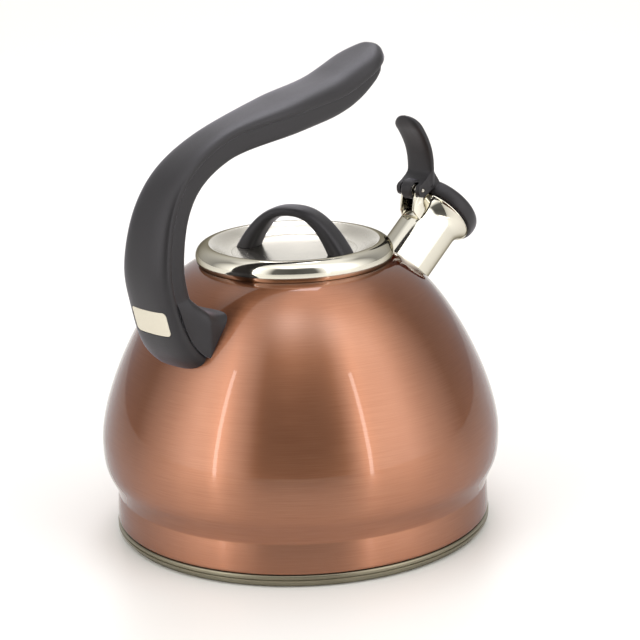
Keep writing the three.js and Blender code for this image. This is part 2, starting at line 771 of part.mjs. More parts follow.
// The badge's outline as a straight prism square to the face, grown by a clearance.
function badgePrism(clearance) {
  const line = handleLine();
  const t = Array.from({ length: 200 }, (_, i) => i / 1000).find((u) => line.getPoint(u).z > BADGE_Z);
  const here = line.getPoint(t);
  const run = line.getTangent(t);
  const [halfW, halfH] = [BADGE_W / 2 + clearance, BADGE_H / 2 + clearance];
  const shape = new THREE.Shape();
  shape.moveTo(-halfW + BADGE_CORNER, -halfH);
  shape.lineTo(halfW - BADGE_CORNER, -halfH);
  shape.quadraticCurveTo(halfW, -halfH, halfW, -halfH + BADGE_CORNER);
  shape.lineTo(halfW, halfH - BADGE_CORNER);
  shape.quadraticCurveTo(halfW, halfH, halfW - BADGE_CORNER, halfH);
  shape.lineTo(-halfW + BADGE_CORNER, halfH);
  shape.quadraticCurveTo(-halfW, halfH, -halfW, halfH - BADGE_CORNER);
  shape.lineTo(-halfW, -halfH + BADGE_CORNER);
  shape.quadraticCurveTo(-halfW, -halfH, -halfW + BADGE_CORNER, -halfH);
  const prism = new THREE.ExtrudeGeometry(shape, { depth: 20, bevelEnabled: false, curveSegments: 4 });
  const out = new THREE.Vector3(-run.z, 0, run.x);
  const across = new THREE.Vector3(0, -1, 0);
  const place = new THREE.Matrix4().makeBasis(across, run, out).setPosition(here.x, 0, here.z);
  return toSolid(prism.applyMatrix4(place));
}

// A screw's place on the handle's foot, pointing at the body.
function alongX(solid, y) {
  const place = new THREE.Matrix4().makeRotationY(Math.PI / 2).setPosition(0, y, HANDLE_SCREW_Z);
  return moved(solid, place);
}

function handleShell() {
  const seat = cut(badgePrism(GAP), handleCrown(BADGE_T + GAP));
  const access = [-HANDLE_SCREW_Y, HANDLE_SCREW_Y]
    .map((y) => alongX(rod(HANDLE_HEAD_R + GAP, HANDLE_HEAD_X - 20, HANDLE_HEAD_X + 5, 20), y));
  return cut(handleCrown(0), seat, ...access, bodySolid(GAP));
}

function handleBadge() {
  return cut(handleCrown(0).intersect(badgePrism(0)), handleCrown(BADGE_T));
}

// The flat-sided inner half of the strap.
function handleStrapCore() {
  const count = 14;
  return handleLoft((at, left) => {
    const half = Math.max(handleHalfWidth(at, left) - CORE_INSET, 0.3);
    const depth = CORE_T * tipFade(left - CORE_TIP_GAP, CORE_TIP_ROUND);
    const top = -SHELL_EDGE * tipFade(left, TIP_EDGE_ROUND) - GAP;
    return Array.from({ length: count }, (_, j) => {
      const angle = (j + 0.5) / count * 2 * Math.PI;
      return [half * bent(Math.cos(angle), 0.4), top + depth / 2 * (bent(Math.sin(angle), 0.4) - 1)];
    });
  }, 30);
}

// The foot that joins the strap to the body, widening as it goes in.
function handleFoot() {
  const rings = [];
  const count = 20;
  const steps = 10;
  const [start, end] = [-93, -53];
  for (let i = 0; i <= steps; i += 1) {
    const x = THREE.MathUtils.lerp(start, end, i / steps);
    const flare = THREE.MathUtils.clamp((x + 90) / 14, 0, 1) ** 2;
    const drop = Math.sin(THREE.MathUtils.clamp((x + 84) / 18, 0, 1) * Math.PI / 2);
    const half = THREE.MathUtils.lerp(FOOT_ROOT_HALF_W, FOOT_HALF_W, flare);
    const high = THREE.MathUtils.lerp(FOOT_TOP_OUT, FOOT_TOP_IN, drop);
    rings.push(Array.from({ length: count }, (_, j) => {
      const angle = (j + 0.5) / count * 2 * Math.PI;
      const z = (high + FOOT_LOW) / 2 + (high - FOOT_LOW) / 2 * bent(Math.sin(angle), 0.45);
      return new THREE.Vector3(x, half * bent(Math.cos(angle), 0.45), z);
    }));
  }
  return lofted(rings);
}

function handleCore() {
  const half = HANDLE_BRACKET_HALF_W + GAP;
  const low = HANDLE_BRACKET_LOW - GAP;
  const back = HANDLE_BRACKET_X - GAP;
  const bores = [-HANDLE_SCREW_Y, HANDLE_SCREW_Y].flatMap((y) => [
    alongX(rod(HANDLE_HEAD_R + GAP, HANDLE_HEAD_X - 20, HANDLE_HEAD_X + HANDLE_HEAD_H + GAP, 20), y),
    alongX(rod(HANDLE_SCREW_R + GAP, HANDLE_HEAD_X, HANDLE_HEAD_X + HANDLE_SCREW_LENGTH + GAP, 16), y),
  ]);
  return cut(
    joined(handleStrapCore(), cut(handleFoot(), outsideOfCore())),
    block(back, 0, -half, half, low, HANDLE_BRACKET_WALL_HIGH + GAP),
    block(back, HANDLE_BRACKET_X + HANDLE_BRACKET_T + GAP, -half, half, low, HANDLE_BRACKET_HIGH + GAP),
    ...bores,
    bodySolid(GAP),
  );
}

// What lies outside the core's outer face, so that the foot stops at the shell.
function outsideOfCore() {
  const low = -SHELL_EDGE - GAP;
  return handleLoft(() => [[-30, low], [30, low], [30, 30], [-30, 30]], 24);
}

function handleBracket() {
  const [back, half] = [HANDLE_BRACKET_X, HANDLE_BRACKET_HALF_W];
  const inside = half - HANDLE_BRACKET_T;
  const low = HANDLE_BRACKET_LOW;
  const holes = [-HANDLE_SCREW_Y, HANDLE_SCREW_Y]
    .map((y) => alongX(rod(HANDLE_SCREW_R + GAP, back - 5, back + 5, 16), y));
  return cut(
    joined(
      block(back, -50, -half, -inside, low, HANDLE_BRACKET_WALL_HIGH),
      block(back, -50, inside, half, low, HANDLE_BRACKET_WALL_HIGH),
      block(back, back + HANDLE_BRACKET_T, -half, half, low, HANDLE_BRACKET_HIGH),
    ),
    ...holes,
    bodySolid(GAP),
  );
}

function handleScrew(y) {
  return alongX(joined(
    rod(HANDLE_HEAD_R, HANDLE_HEAD_X, HANDLE_HEAD_X + HANDLE_HEAD_H, 20),
    rod(HANDLE_SCREW_R, HANDLE_HEAD_X + 1, HANDLE_HEAD_X + HANDLE_SCREW_LENGTH, 16),
  ), y);
}

function piece(name, solid, finish) {
  const mesh = new THREE.Mesh(toGeometry(solid), new THREE.MeshStandardMaterial(finish));
  mesh.name = name;
  return mesh;
}

function bodyGroup() {
  const group = new THREE.Group();
  group.add(
    piece('base_plate', basePlate(), DULL_STEEL),
    piece('base_core', baseCore(), ALUMINIUM),
    piece('base_rim', baseRim(), DULL_STEEL),
    piece('body_shell', bodyShell(), COPPER),
  );
  return group;
}

function lidGroup() {
  const lid = new THREE.Group();
  lid.add(piece('lid_rim', lidRim(), MIRROR), piece('lid_skirt', lidSkirt(), SATIN));
  const grip = new THREE.Group();
  grip.rotation.z = THREE.MathUtils.degToRad(ARCH_YAW);
  grip.add(piece('lid_plate', lidPlate(), SATIN), piece('lid_arch', lidArch(), BLACK));
  for (const [i, x] of lidScrewPlaces().entries()) {
    const end = ['back', 'front'][i];
    const screw = piece(`lid_screw_${end}`, lidScrew(), SATIN);
    const washer = piece(`lid_washer_${end}`, lidWasher(), SATIN);
    screw.position.x = x;
    washer.position.x = x;
    grip.add(screw, washer);
  }
  lid.add(grip);
  return lid;
}

function spoutGroup() {
  const spout = new THREE.Group();
  spout.applyMatrix4(SPOUT_FRAME);
  const pin = piece('pivot_pin', pivotPin(), MIRROR);
  pin.position.set(-PIVOT_OUT, 0, PIVOT_ALONG);
  spout.add(piece('spout_tube', spoutTube(), MIRROR), piece('cap_bracket', capBracket(), MIRROR), pin);
  const seat = CAP_AT + CAP_MOUTH_DEPTH + GAP;
  const outerPlateAt = CAP_AT + CAP_H - 2 - GAP - WHISTLE_PLATE_T;
  spout.add(
    piece('whistle_inner_plate', whistlePlate(seat), SATIN),
    piece('whistle_ring', whistleRing(seat + WHISTLE_PLATE_T + GAP, outerPlateAt - GAP), SATIN),
    piece('whistle_outer_plate', whistlePlate(outerPlateAt), SATIN),
  );
  return spout;
}

function leverGroup() {
  const group = new THREE.Group();
  group.position.copy(PIVOT);
  group.add(piece('thumb_lever', thumbLever(), BLACK), piece('cap_spring', capSpring(), SATIN));
  return group;
}

function handleGroup() {
  const group = new THREE.Group();
  group.add(
    piece('handle_shell', handleShell(), BLACK),
    piece('handle_core', handleCore(), BLACK),
    piece('handle_badge', handleBadge(), BADGE),
    piece('handle_bracket', handleBracket(), SATIN),
    piece('handle_screw_left', handleScrew(HANDLE_SCREW_Y), SATIN),
    piece('handle_screw_right', handleScrew(-HANDLE_SCREW_Y), SATIN),
  );
  return group;
}

const kettle = new THREE.Group();
kettle.add(bodyGroup(), lidGroup(), spoutGroup(), leverGroup(), handleGroup());

export default kettle;
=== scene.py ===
"""Looks of a stovetop whistling kettle, laid out as an add-on and run as a script."""

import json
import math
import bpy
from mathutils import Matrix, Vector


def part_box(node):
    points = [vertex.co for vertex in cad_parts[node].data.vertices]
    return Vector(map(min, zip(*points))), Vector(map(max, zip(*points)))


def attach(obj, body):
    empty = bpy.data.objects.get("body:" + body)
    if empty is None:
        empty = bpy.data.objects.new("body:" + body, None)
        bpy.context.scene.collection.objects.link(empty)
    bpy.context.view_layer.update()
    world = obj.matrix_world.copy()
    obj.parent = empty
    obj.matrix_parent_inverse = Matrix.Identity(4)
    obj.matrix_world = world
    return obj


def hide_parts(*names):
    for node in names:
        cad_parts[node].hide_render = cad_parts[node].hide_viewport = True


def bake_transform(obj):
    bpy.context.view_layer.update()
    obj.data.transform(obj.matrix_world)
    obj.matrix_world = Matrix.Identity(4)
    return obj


bl_info = {
    "name": "Stovetop kettle",
    "version": (1, 0, 0),
    "blender": (4, 5, 0),
    "location": "3D View > Sidebar > Kettle",
    "description": "Builds a copper-lacquered whistling kettle around its packed frame",
    "category": "Add Mesh",
}

import bmesh
import bpy
from bpy.props import FloatProperty, FloatVectorProperty, IntProperty, PointerProperty
from mathutils import Matrix, Vector

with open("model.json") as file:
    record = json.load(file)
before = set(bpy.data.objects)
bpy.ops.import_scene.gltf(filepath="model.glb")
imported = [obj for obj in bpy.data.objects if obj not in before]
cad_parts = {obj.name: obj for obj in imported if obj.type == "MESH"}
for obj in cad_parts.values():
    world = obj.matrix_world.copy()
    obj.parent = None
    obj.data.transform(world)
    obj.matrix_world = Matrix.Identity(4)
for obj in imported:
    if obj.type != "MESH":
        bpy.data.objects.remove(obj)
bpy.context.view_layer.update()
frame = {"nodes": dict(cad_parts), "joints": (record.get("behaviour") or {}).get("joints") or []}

MM = 0.001
PIVOT = Vector(frame["joints"][1]["pos_m"]) / MM
BASE_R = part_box("base_rim")[1].x / MM
TUBE_AT = Vector((84.0, 0.0, 122.2))
TUBE_TILT = math.radians(37.6)
TUBE_FRAME = Matrix.Translation(TUBE_AT) @ Matrix.Rotation(math.pi / 2 - TUBE_TILT, 4, "Y")
GRIP_FRAME = Matrix.Rotation(math.radians(-73), 4, "Z")
# The handle's crease from foot to tip, as (x, z)
HANDLE_POINTS = [
    (-71.2, 100.0),
    (-84.9, 112.4),
    (-93.6, 137.1),
    (-94.9, 151.7),
    (-88.9, 175.8),
    (-76.9, 192.0),
    (-53.1, 205.0),
    (-8.1, 213.4),
    (27.2, 219.1),
    (60.9, 234.4),
]
# Heights and radii of the frame that several pieces share
FLOOR_Z = 6.5
WAIST_Z = 21.8
BELLY_Z = 48
MOUTH_Z = 136.3
NECK_R = 43
NECK_FOOT_Z = 128.3
LID_RIM_Z = 140
DISC_TOP_Z = 141
GRIP_SPAN = 25.8
TUBE_T = 1.2
COIL_R = 2.4
BLADE_HALF_W = 8.8
WHISTLE_R = 12.3
FOOT_SCREW_Z = 122.8
FOOT_SCREW_Y = (-6, 6)
SHELL_EDGE = 1.4
# Finishes that several pieces share
STEEL = "plain_machined_steel"
MIRROR = "mirror_polished_stainless"
SATIN = "spun_satin_stainless"
INSIDE = "drawn_stainless_inside"
DULL = "heat_dulled_steel"
BLACK = "soft_touch_black_nylon"
MADE = {}


# ---------------- sizes and colours


class KettleSizes(bpy.types.PropertyGroup):
    """Sizes of the visible pieces, in millimetres."""

    segments: IntProperty(name="Segments", description="Facets round a turned piece", default=192, min=48)
    wall: FloatProperty(name="Wall", description="Thickness of the bowl's steel", default=1.0)
    belly_r: FloatProperty(name="Belly radius", description="Widest radius of the bowl", default=100.4)
    waist_r: FloatProperty(name="Waist radius", description="Radius at the low crease", default=94.0)
    mouth_r: FloatProperty(name="Mouth radius", description="Where the shoulder turns in", default=47.3)
    tube_r: FloatProperty(name="Spout radius", description="Outer radius of the spout tube", default=15.1)
    lip_r: FloatProperty(name="Lip radius", description="Radius of the flared lip", default=19.1)
    cap_r: FloatProperty(name="Cap radius", description="Widest radius of the whistle cap", default=21.0)
    rim_r: FloatProperty(name="Lid rim radius", description="Middle of the lid's rolled rim", default=43.2)
    rim_half: FloatProperty(name="Lid rim half width", description="Half the rolled rim's width", default=6.1)
    strap_half: FloatProperty(name="Strap half width", description="Half the handle's width", default=15.8)
    wire_r: FloatProperty(name="Spring wire radius", description="Radius of the spring's wire", default=0.5)


def colour(label, words, default):
    return FloatVectorProperty(name=label, description=words, subtype="COLOR", size=3, default=default)


def linear(code):
    """An sRGB hex colour as linear light."""
    parts = [int(code[i : i + 2], 16) / 255 for i in (1, 3, 5)]
    return tuple(p / 12.92 if p <= 0.04045 else ((p + 0.055) / 1.055) ** 2.4 for p in parts)


class KettleFinishes(bpy.types.PropertyGroup):
    """Colours of the finishes."""

    lacquer: colour("Copper lacquer", "Tinted lacquer over brushed steel", linear("#BC9174"))
    lacquer_deep: colour("Deep lacquer", "Where the lacquer lies thicker", linear("#AC8064"))
    chrome: colour("Mirror steel", "Polished steel and chrome", linear("#DEDACC"))
    satin: colour("Satin steel", "Brushed steel", linear("#D6D2C8"))
    dull: colour("Dull steel", "Base steel dulled by heat", linear("#8C8775"))
    black: colour("Soft black", "Moulded handle plastic", linear("#201F1F"))
    badge: colour("Badge", "Blank satin plate", linear("#E2DCCB"))
    floor: colour("Floor", "Plain pale floor", linear("#F3F2EF"))


def sizes():
    return bpy.context.scene.kettle_sizes


def finishes():
    return bpy.context.scene.kettle_finishes


# ---------------- nodes and materials


def add(tree, kind, inputs=None, **settings):
    """Adds a node with its settings, values and links."""
    node = tree.nodes.new(kind)
    for key, value in settings.items():
        setattr(node, key, value)
    connect(tree, node, inputs or {})
    return node


def connect(tree, node, inputs):
    for key, value in inputs.items():
        if isinstance(value, bpy.types.NodeSocket):
            tree.links.new(value, node.inputs[key])
        else:
            node.inputs[key].default_value = value


def calc(tree, operation, *values):
    """The result of a math node."""
    return add(tree, "ShaderNodeMath", dict(enumerate(values)), operation=operation).outputs[0]


def vector_calc(tree, operation, *values):
    """The result of a vector math node, which is a number for a length or a dot product."""
    node = add(tree, "ShaderNodeVectorMath", dict(enumerate(values)), operation=operation)
    return node.outputs["Value" if operation in ("LENGTH", "DOT_PRODUCT") else "Vector"]


def rgba(value):
    return (*value, 1.0)


def srgb(code):
    return rgba(linear(code))


def scaled(tint, share):
    """A colour made darker or lighter."""
    return [c * share for c in tint]


def new_material(name, inputs):
    """A Principled material, kept by name."""
    material = bpy.data.materials.new(name)
    material.use_nodes = True
    tree = material.node_tree
    tree.nodes.clear()
    surface = add(tree, "ShaderNodeBsdfPrincipled", inputs)
    add(tree, "ShaderNodeOutputMaterial", {"Surface": surface.outputs[0]})
    MADE[name] = material
    return tree, surface


def turned_lines(tree, pitch_mm, turns):
    """Fine lines that run round the Z axis, as brushing on a lathe leaves them."""
    point = add(tree, "ShaderNodeTexCoord").outputs["Object"]
    flat = vector_calc(tree, "MULTIPLY", point, (1, 1, 0))
    height = add(tree, "ShaderNodeSeparateXYZ", {0: point}).outputs["Z"]
    along = calc(tree, "SUBTRACT", height, vector_calc(tree, "LENGTH", flat))
    lift = add(tree, "ShaderNodeCombineXYZ", {"Z": calc(tree, "MULTIPLY", along, 1 / (pitch_mm * MM))})
    around = vector_calc(tree, "NORMALIZE", flat)
    place = vector_calc(tree, "MULTIPLY_ADD", around, (turns, turns, turns), lift.outputs[0])
    return add(tree, "ShaderNodeTexNoise", {"Vector": place, "Scale": 1.0, "Detail": 3.0}).outputs[0]


def noise(tree, size_mm, detail=2.0, stretch=(1, 1, 1)):
    point = add(tree, "ShaderNodeTexCoord").outputs["Object"]
    place = add(tree, "ShaderNodeMapping", {"Vector": point, "Scale": stretch}).outputs[0]
    scale = 1 / (size_mm * MM)
    return add(tree, "ShaderNodeTexNoise", {"Vector": place, "Scale": scale, "Detail": detail}).outputs[0]


def between(tree, source, low, high, out_low, out_high):
    """Maps a pattern's values to a range."""
    names = ("Value", "From Min", "From Max", "To Min", "To Max")
    values = dict(zip(names, (source, low, high, out_low, out_high)))
    return add(tree, "ShaderNodeMapRange", values).outputs[0]


def mixed(tree, factor, first, second):
    node = add(tree, "ShaderNodeMix", {0: factor, 6: rgba(first), 7: rgba(second)}, data_type="RGBA")
    return node.outputs[2]


def bump(tree, height, depth_mm, strength=1.0):
    values = {"Height": height, "Distance": depth_mm * MM, "Strength": strength}
    return add(tree, "ShaderNodeBump", values).outputs[0]


def dress(tree, surface, tint, rough, relief):
    """Gives a finish its colour, roughness and relief."""
    connect(tree, surface, {"Base Color": tint, "Roughness": rough, "Normal": relief})


def brush_round(tree, surface):
    """Turns a finish's stretched highlights to lie across lines that run round Z."""
    tangent = add(tree, "ShaderNodeTangent", direction_type="RADIAL", axis="Z").outputs[0]
    connect(tree, surface, {"Tangent": tangent, "Anisotropic Rotation": 0.25})


def make_copper_lacquer():
    # Tinted clear lacquer over steel brushed on a lathe: warm, with a broad sheen under a wet-looking coat
    tree, surface = new_material(
        "copper_lacquer_on_brushed_steel",
        {"Metallic": 1.0, "Anisotropic": 0.88, "Coat Weight": 1.0, "Coat Roughness": 0.03, "Coat IOR": 1.45},
    )
    # The tint swallows light that skims the surface, so the flanks stay brown
    connect(tree, surface, {"Specular Tint": srgb("#7A5A4C"), "Coat Tint": srgb("#E4CDC2")})
    # Real brushing is about 0.1 mm; it is drawn at 0.45 mm so that it shows
    lines = turned_lines(tree, 0.45, 5.0)
    tone = calc(tree, "MULTIPLY", lines, noise(tree, 60.0, 3.0))
    tint = mixed(tree, between(tree, tone, 0.12, 0.4, 1.0, 0.0), finishes().lacquer, finishes().lacquer_deep)
    dress(tree, surface, tint, between(tree, lines, 0.3, 0.7, 0.32, 0.38), bump(tree, lines, 0.004))
    brush_round(tree, surface)


def make_mirror_steel():
    # Polished stainless: almost a mirror, with faint buffing haze
    tree, surface = new_material(MIRROR, {"Metallic": 1.0, "Specular Tint": srgb("#7E7A70")})
    haze = noise(tree, 9.0, 4.0)
    tint = mixed(tree, between(tree, haze, 0.3, 0.7, 0.0, 0.25), finishes().chrome, finishes().satin)
    ripple = bump(tree, noise(tree, 26.0, 1.0), 0.02, 0.35)
    dress(tree, surface, tint, between(tree, haze, 0.3, 0.7, 0.05, 0.1), ripple)


def make_satin_steel(name, tint, pitch_mm, rough, spread):
    # Steel spun against fine abrasive: concentric lines that spread highlights across them
    tree, surface = new_material(name, {"Metallic": 1.0, "Anisotropic": spread})
    lines = turned_lines(tree, pitch_mm, 4.0)
    stain = between(tree, noise(tree, 22.0, 3.0), 0.35, 0.75, 0.0, 0.4)
    roughness = between(tree, lines, 0.3, 0.7, rough - 0.05, rough + 0.08)
    dress(tree, surface, mixed(tree, stain, tint, scaled(tint, 0.72)), roughness, bump(tree, lines, 0.01))
    brush_round(tree, surface)


def make_plain_steel():
    # Machine screws, pins and pressings: even grey steel with light scuffs
    tree, surface = new_material(STEEL, {"Metallic": 1.0})
    scuff = noise(tree, 0.8, 3.0, (1, 1, 6))
    tint = mixed(tree, between(tree, scuff, 0.3, 0.8, 0.0, 0.5), finishes().satin, finishes().dull)
    dress(tree, surface, tint, between(tree, scuff, 0.3, 0.7, 0.22, 0.4), bump(tree, scuff, 0.01))


def make_aluminium():
    # Rolled aluminium: softer and greyer than steel, with straight rolling marks
    tree, surface = new_material("rolled_aluminium", {"Metallic": 1.0})
    marks = noise(tree, 1.2, 3.0, (0.05, 1, 1))
    tint = mixed(tree, marks, linear("#BFC1C3"), linear("#9A9C9F"))
    dress(tree, surface, tint, between(tree, marks, 0.3, 0.7, 0.38, 0.55), bump(tree, marks, 0.015))


def make_soft_black():
    # Injection-moulded nylon with a soft-touch coat: matt charcoal with a fine spark-eroded grain
    tree, surface = new_material(
        BLACK,
        {"Metallic": 0.0, "IOR": 1.5, "Specular IOR Level": 0.5, "Sheen Weight": 0.6, "Sheen Roughness": 0.3},
    )
    connect(tree, surface, {"Specular Tint": srgb("#F0EEF6"), "Sheen Tint": srgb("#D2CFE2")})
    # The tool's grain is about 0.2 mm; it is drawn at 0.5 mm so that it shows
    grain = noise(tree, 0.5, 4.0)
    wear = between(tree, noise(tree, 35.0, 3.0), 0.35, 0.7, 0.0, 1.0)
    tint = mixed(tree, wear, finishes().black, scaled(finishes().black, 1.25))
    dress(tree, surface, tint, between(tree, grain, 0.3, 0.7, 0.4, 0.52), bump(tree, grain, 0.035, 0.6))


def make_badge_satin():
    # Anodised aluminium, finely blasted: an even pale satin
    tree, surface = new_material("blasted_anodised_aluminium", {"Metallic": 0.85})
    grain = noise(tree, 0.35, 2.0)
    tint = mixed(tree, grain, finishes().badge, scaled(finishes().badge, 0.9))
    dress(tree, surface, tint, between(tree, grain, 0.3, 0.7, 0.36, 0.5), bump(tree, grain, 0.01))


def make_floor_paper():
    # Matt photographic paper
    tree, surface = new_material("matt_backdrop_paper", {"Specular IOR Level": 0.4})
    fibre = noise(tree, 3.0, 3.0)
    shade = between(tree, fibre, 0.2, 0.8, 0.0, 0.3)
    tint = mixed(tree, shade, finishes().floor, scaled(finishes().floor, 0.985))
    dress(tree, surface, tint, 0.32, bump(tree, fibre, 0.02, 0.1))


# ---------------- curves


def bezier(a, b, c, d, count):
    """Points on a cubic curve, its two ends included."""
    out = []
    for i in range(count + 1):
        t = i / count
        s = 1 - t
        parts = [s**3, 3 * s * s * t, 3 * s * t * t, t**3]
        out.append(tuple(sum(w * p[k] for w, p in zip(parts, (a, b, c, d))) for k in (0, 1)))
    return out


def offset(points, distance):
    """Moves an outline to its left as it is walked."""
    out = []
    last = len(points) - 1
    for i, point in enumerate(points):
        here = Vector(point)
        before = Vector(points[max(i - 1, 0)])
        after = Vector(points[min(i + 1, last)])
        a = (here - before if i else after - here).normalized()
        b = (after - here if i < last else here - before).normalized()
        normal = Vector((-(a.y + b.y), a.x + b.x)).normalized()
        spread = 1 / max(normal.dot(Vector((-a.y, a.x))), 0.5)
        out.append(tuple(here + normal * distance * spread))
    return out


def arc(centre, rx, ry, start, end, count):
    """Points on an ellipse between two angles in degrees."""
    out = []
    for i in range(count + 1):
        angle = math.radians(start + (end - start) * i / count)
        out.append((centre[0] + rx * math.cos(angle), centre[1] + ry * math.sin(angle)))
    return out


def rounded(points, radius, steps=5):
    """A closed outline with its corners rounded."""
    out = []
    count = len(points)
    for i, point in enumerate(points):
        here = Vector(point)
        before = Vector(points[i - 1]) - here
        after = Vector(points[(i + 1) % count]) - here
        reach = min(radius, before.length * 0.45, after.length * 0.45)
        a = here + before.normalized() * reach
        b = here + after.normalized() * reach
        for j in range(steps + 1):
            t = j / steps
            out.append(tuple((1 - t) ** 2 * a + 2 * t * (1 - t) * here + t * t * b))
    return out


def rectangle(left, right, low, high, radius, steps=2):
    return rounded([(left, low), (right, low), (right, high), (left, high)], radius, steps)


def bent(value, power):
    return math.copysign(abs(value) ** power, value)


def boxy_ring(count, wide_power, thick_power):
    """Unit (across, out) pairs round a section that lies between an oval and a box."""
    for j in range(count):
        angle = (j + 0.5) / count * 2 * math.pi
        yield bent(math.cos(angle), wide_power), bent(math.sin(angle), thick_power)


def smooth(value, low, high):
    t = min(max((value - low) / (high - low), 0.0), 1.0)
    return t * t * (3 - 2 * t)


def blended(stations, at):
    """A size at a fraction of the length, blended smoothly between (fraction, size) stations."""
    value = stations[0][1]
    for (low, before), (high, after) in zip(stations, stations[1:]):
        if at >= low:
            value = before + (after - before) * smooth(at, low, high)
    return value


# ---------------- meshes


def placed(name, data):
    """A new object in the scene."""
    thing = bpy.data.objects.new(name, data)
    bpy.context.scene.collection.objects.link(thing)
    return thing


def mesh_object(name, points, faces):
    mesh = bpy.data.meshes.new(name)
    mesh.from_pydata([tuple(Vector(p) * MM) for p in points], [], faces)
    thing = placed(name, mesh)
    tidy(thing)
    return thing


def tidy(thing):
    """Merges doubled points and turns the faces outward."""
    shape = bmesh.new()
    shape.from_mesh(thing.data)
    bmesh.ops.remove_doubles(shape, verts=shape.verts, dist=2e-6)
    bmesh.ops.recalc_face_normals(shape, faces=shape.faces)
    shape.to_mesh(thing.data)
    shape.free()


def baked(thing):
    """Replaces an object's mesh by what its modifiers make of it."""
    depsgraph = bpy.context.evaluated_depsgraph_get()
    mesh = bpy.data.meshes.new_from_object(thing.evaluated_get(depsgraph), depsgraph=depsgraph)
    thing.modifiers.clear()
    thing.data = mesh
    return thing


def drop(*things):
    for thing in things:
        bpy.data.objects.remove(thing)


def moved(thing, matrix):
    """Puts an object's place, given in millimetres, into its mesh."""
    metres = matrix.copy()
    metres.translation = matrix.translation * MM
    thing.data.transform(metres)
    return thing


def combine(thing, tools, operation):
    """Cuts, joins or crosses an object with others, which are used up."""
    for tool in tools:
        step = thing.modifiers.new("combine", "BOOLEAN")
        step.operation = operation
        step.solver = "EXACT"
        step.object = tool
        baked(thing)
    drop(*tools)
    return thing


def softened(thing, voxel_mm, passes):
    """Melts joined shapes into one moulding with soft edges."""
    remesh = thing.modifiers.new("remesh", "REMESH")
    remesh.mode = "VOXEL"
    remesh.voxel_size = voxel_mm * MM
    relax = thing.modifiers.new("relax", "SMOOTH")
    relax.iterations = passes
    return baked(thing)


def bevelled(thing, width_mm, segments=3, angle=35):
    step = thing.modifiers.new("bevel", "BEVEL")
    step.width = width_mm * MM
    step.segments = segments
    step.limit_method = "ANGLE"
    step.angle_limit = math.radians(angle)
    return baked(thing)


def copy_of(node):
    """A copy of a frame node, merged and freed of flat facets, where the node stands."""
    thing = placed(node + "_copy", frame["nodes"][node].data.copy())
    thing.data.materials.clear()
    shape = bmesh.new()
    shape.from_mesh(thing.data)
    bmesh.ops.remove_doubles(shape, verts=shape.verts, dist=2e-6)
    bmesh.ops.dissolve_limit(shape, angle_limit=math.radians(1.0), verts=shape.verts, edges=shape.edges)
    shape.to_mesh(thing.data)
    shape.free()
    return thing


def two_finishes(thing, first, second, is_second):
    """Gives a piece two finishes, the second on the faces that pass a test."""
    thing.data.materials.clear()
    for name in (first, second):
        thing.data.materials.append(MADE[name])
    for face in thing.data.polygons:
        if is_second(face):
            face.material_index = 1


def settled(thing, name, body, material, *nodes, angle=32):
    """Names, smooths and finishes a piece, and sets it on its body in place of its frame nodes."""
    thing.name = name
    thing.data.name = name
    if material:
        thing.data.materials.clear()
        thing.data.materials.append(MADE[material])
    thing.data.shade_smooth()
    thing.data.set_sharp_from_angle(angle=math.radians(angle))
    if body:
        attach(thing, body)
    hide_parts(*nodes)
    return thing


def lofted(name, rings):
    """A closed skin through rings of equally many points."""
    count = len(rings[0])
    points = [p for ring in rings for p in ring]
    faces = []
    for i in range(len(rings) - 1):
        for j in range(count):
            a = i * count + j
            b = i * count + (j + 1) % count
            faces.append((a, b, b + count, a + count))
    for start in (0, (len(rings) - 1) * count):
        middle = sum((Vector(p) for p in points[start : start + count]), Vector()) / count
        points.append(middle)
        for j in range(count):
            faces.append((len(points) - 1, start + j, start + (j + 1) % count))
    return mesh_object(name, points, faces)


def block(low, high):
    corners = [(x, y, z) for x in (low[0], high[0]) for y in (low[1], high[1]) for z in (low[2], high[2])]
    faces = [(0, 1, 3, 2), (4, 6, 7, 5), (0, 4, 5, 1), (2, 3, 7, 6), (0, 2, 6, 4), (1, 5, 7, 3)]
    return mesh_object("block", corners, faces)


def prism(outline, low, high, matrix):
    """A bar along Z over an outline, moved into place."""
    count = len(outline)
    points = [(x, y, z) for z in (low, high) for x, y in outline]
    faces = [tuple(range(count)), tuple(range(count, 2 * count))]
    faces += [(i, (i + 1) % count, count + (i + 1) % count, count + i) for i in range(count)]
    return moved(mesh_object("prism", points, faces), matrix)


# ---------------- node trees for shapes


def group(name):
    tree = bpy.data.node_groups.new(name, "GeometryNodeTree")
    tree.interface.new_socket("Geometry", in_out="INPUT", socket_type="NodeSocketGeometry")
    tree.interface.new_socket("Geometry", in_out="OUTPUT", socket_type="NodeSocketGeometry")
    return tree


def named_input(tree, name, kind):
    tree.interface.new_socket(name, in_out="INPUT", socket_type="NodeSocket" + kind)


def apply_tree(thing, tree, **values):
    """Runs a node tree on an object, with its inputs set by name, and keeps the plain mesh."""
    step = thing.modifiers.new(tree.name, "NODES")
    step.node_group = tree
    for item in tree.interface.items_tree:
        if item.in_out == "INPUT" and item.name in values:
            step[item.identifier] = values[item.name]
    baked(thing)
    tidy(thing)
    return thing


def finish_tree(tree, geometry, source):
    real = add(tree, "GeometryNodeRealizeInstances", {"Geometry": geometry}).outputs[0]
    done = add(tree, "GeometryNodeSetMaterial", {"Geometry": real, "Material": source.outputs["Material"]})
    add(tree, "NodeGroupOutput", {0: done.outputs[0]})


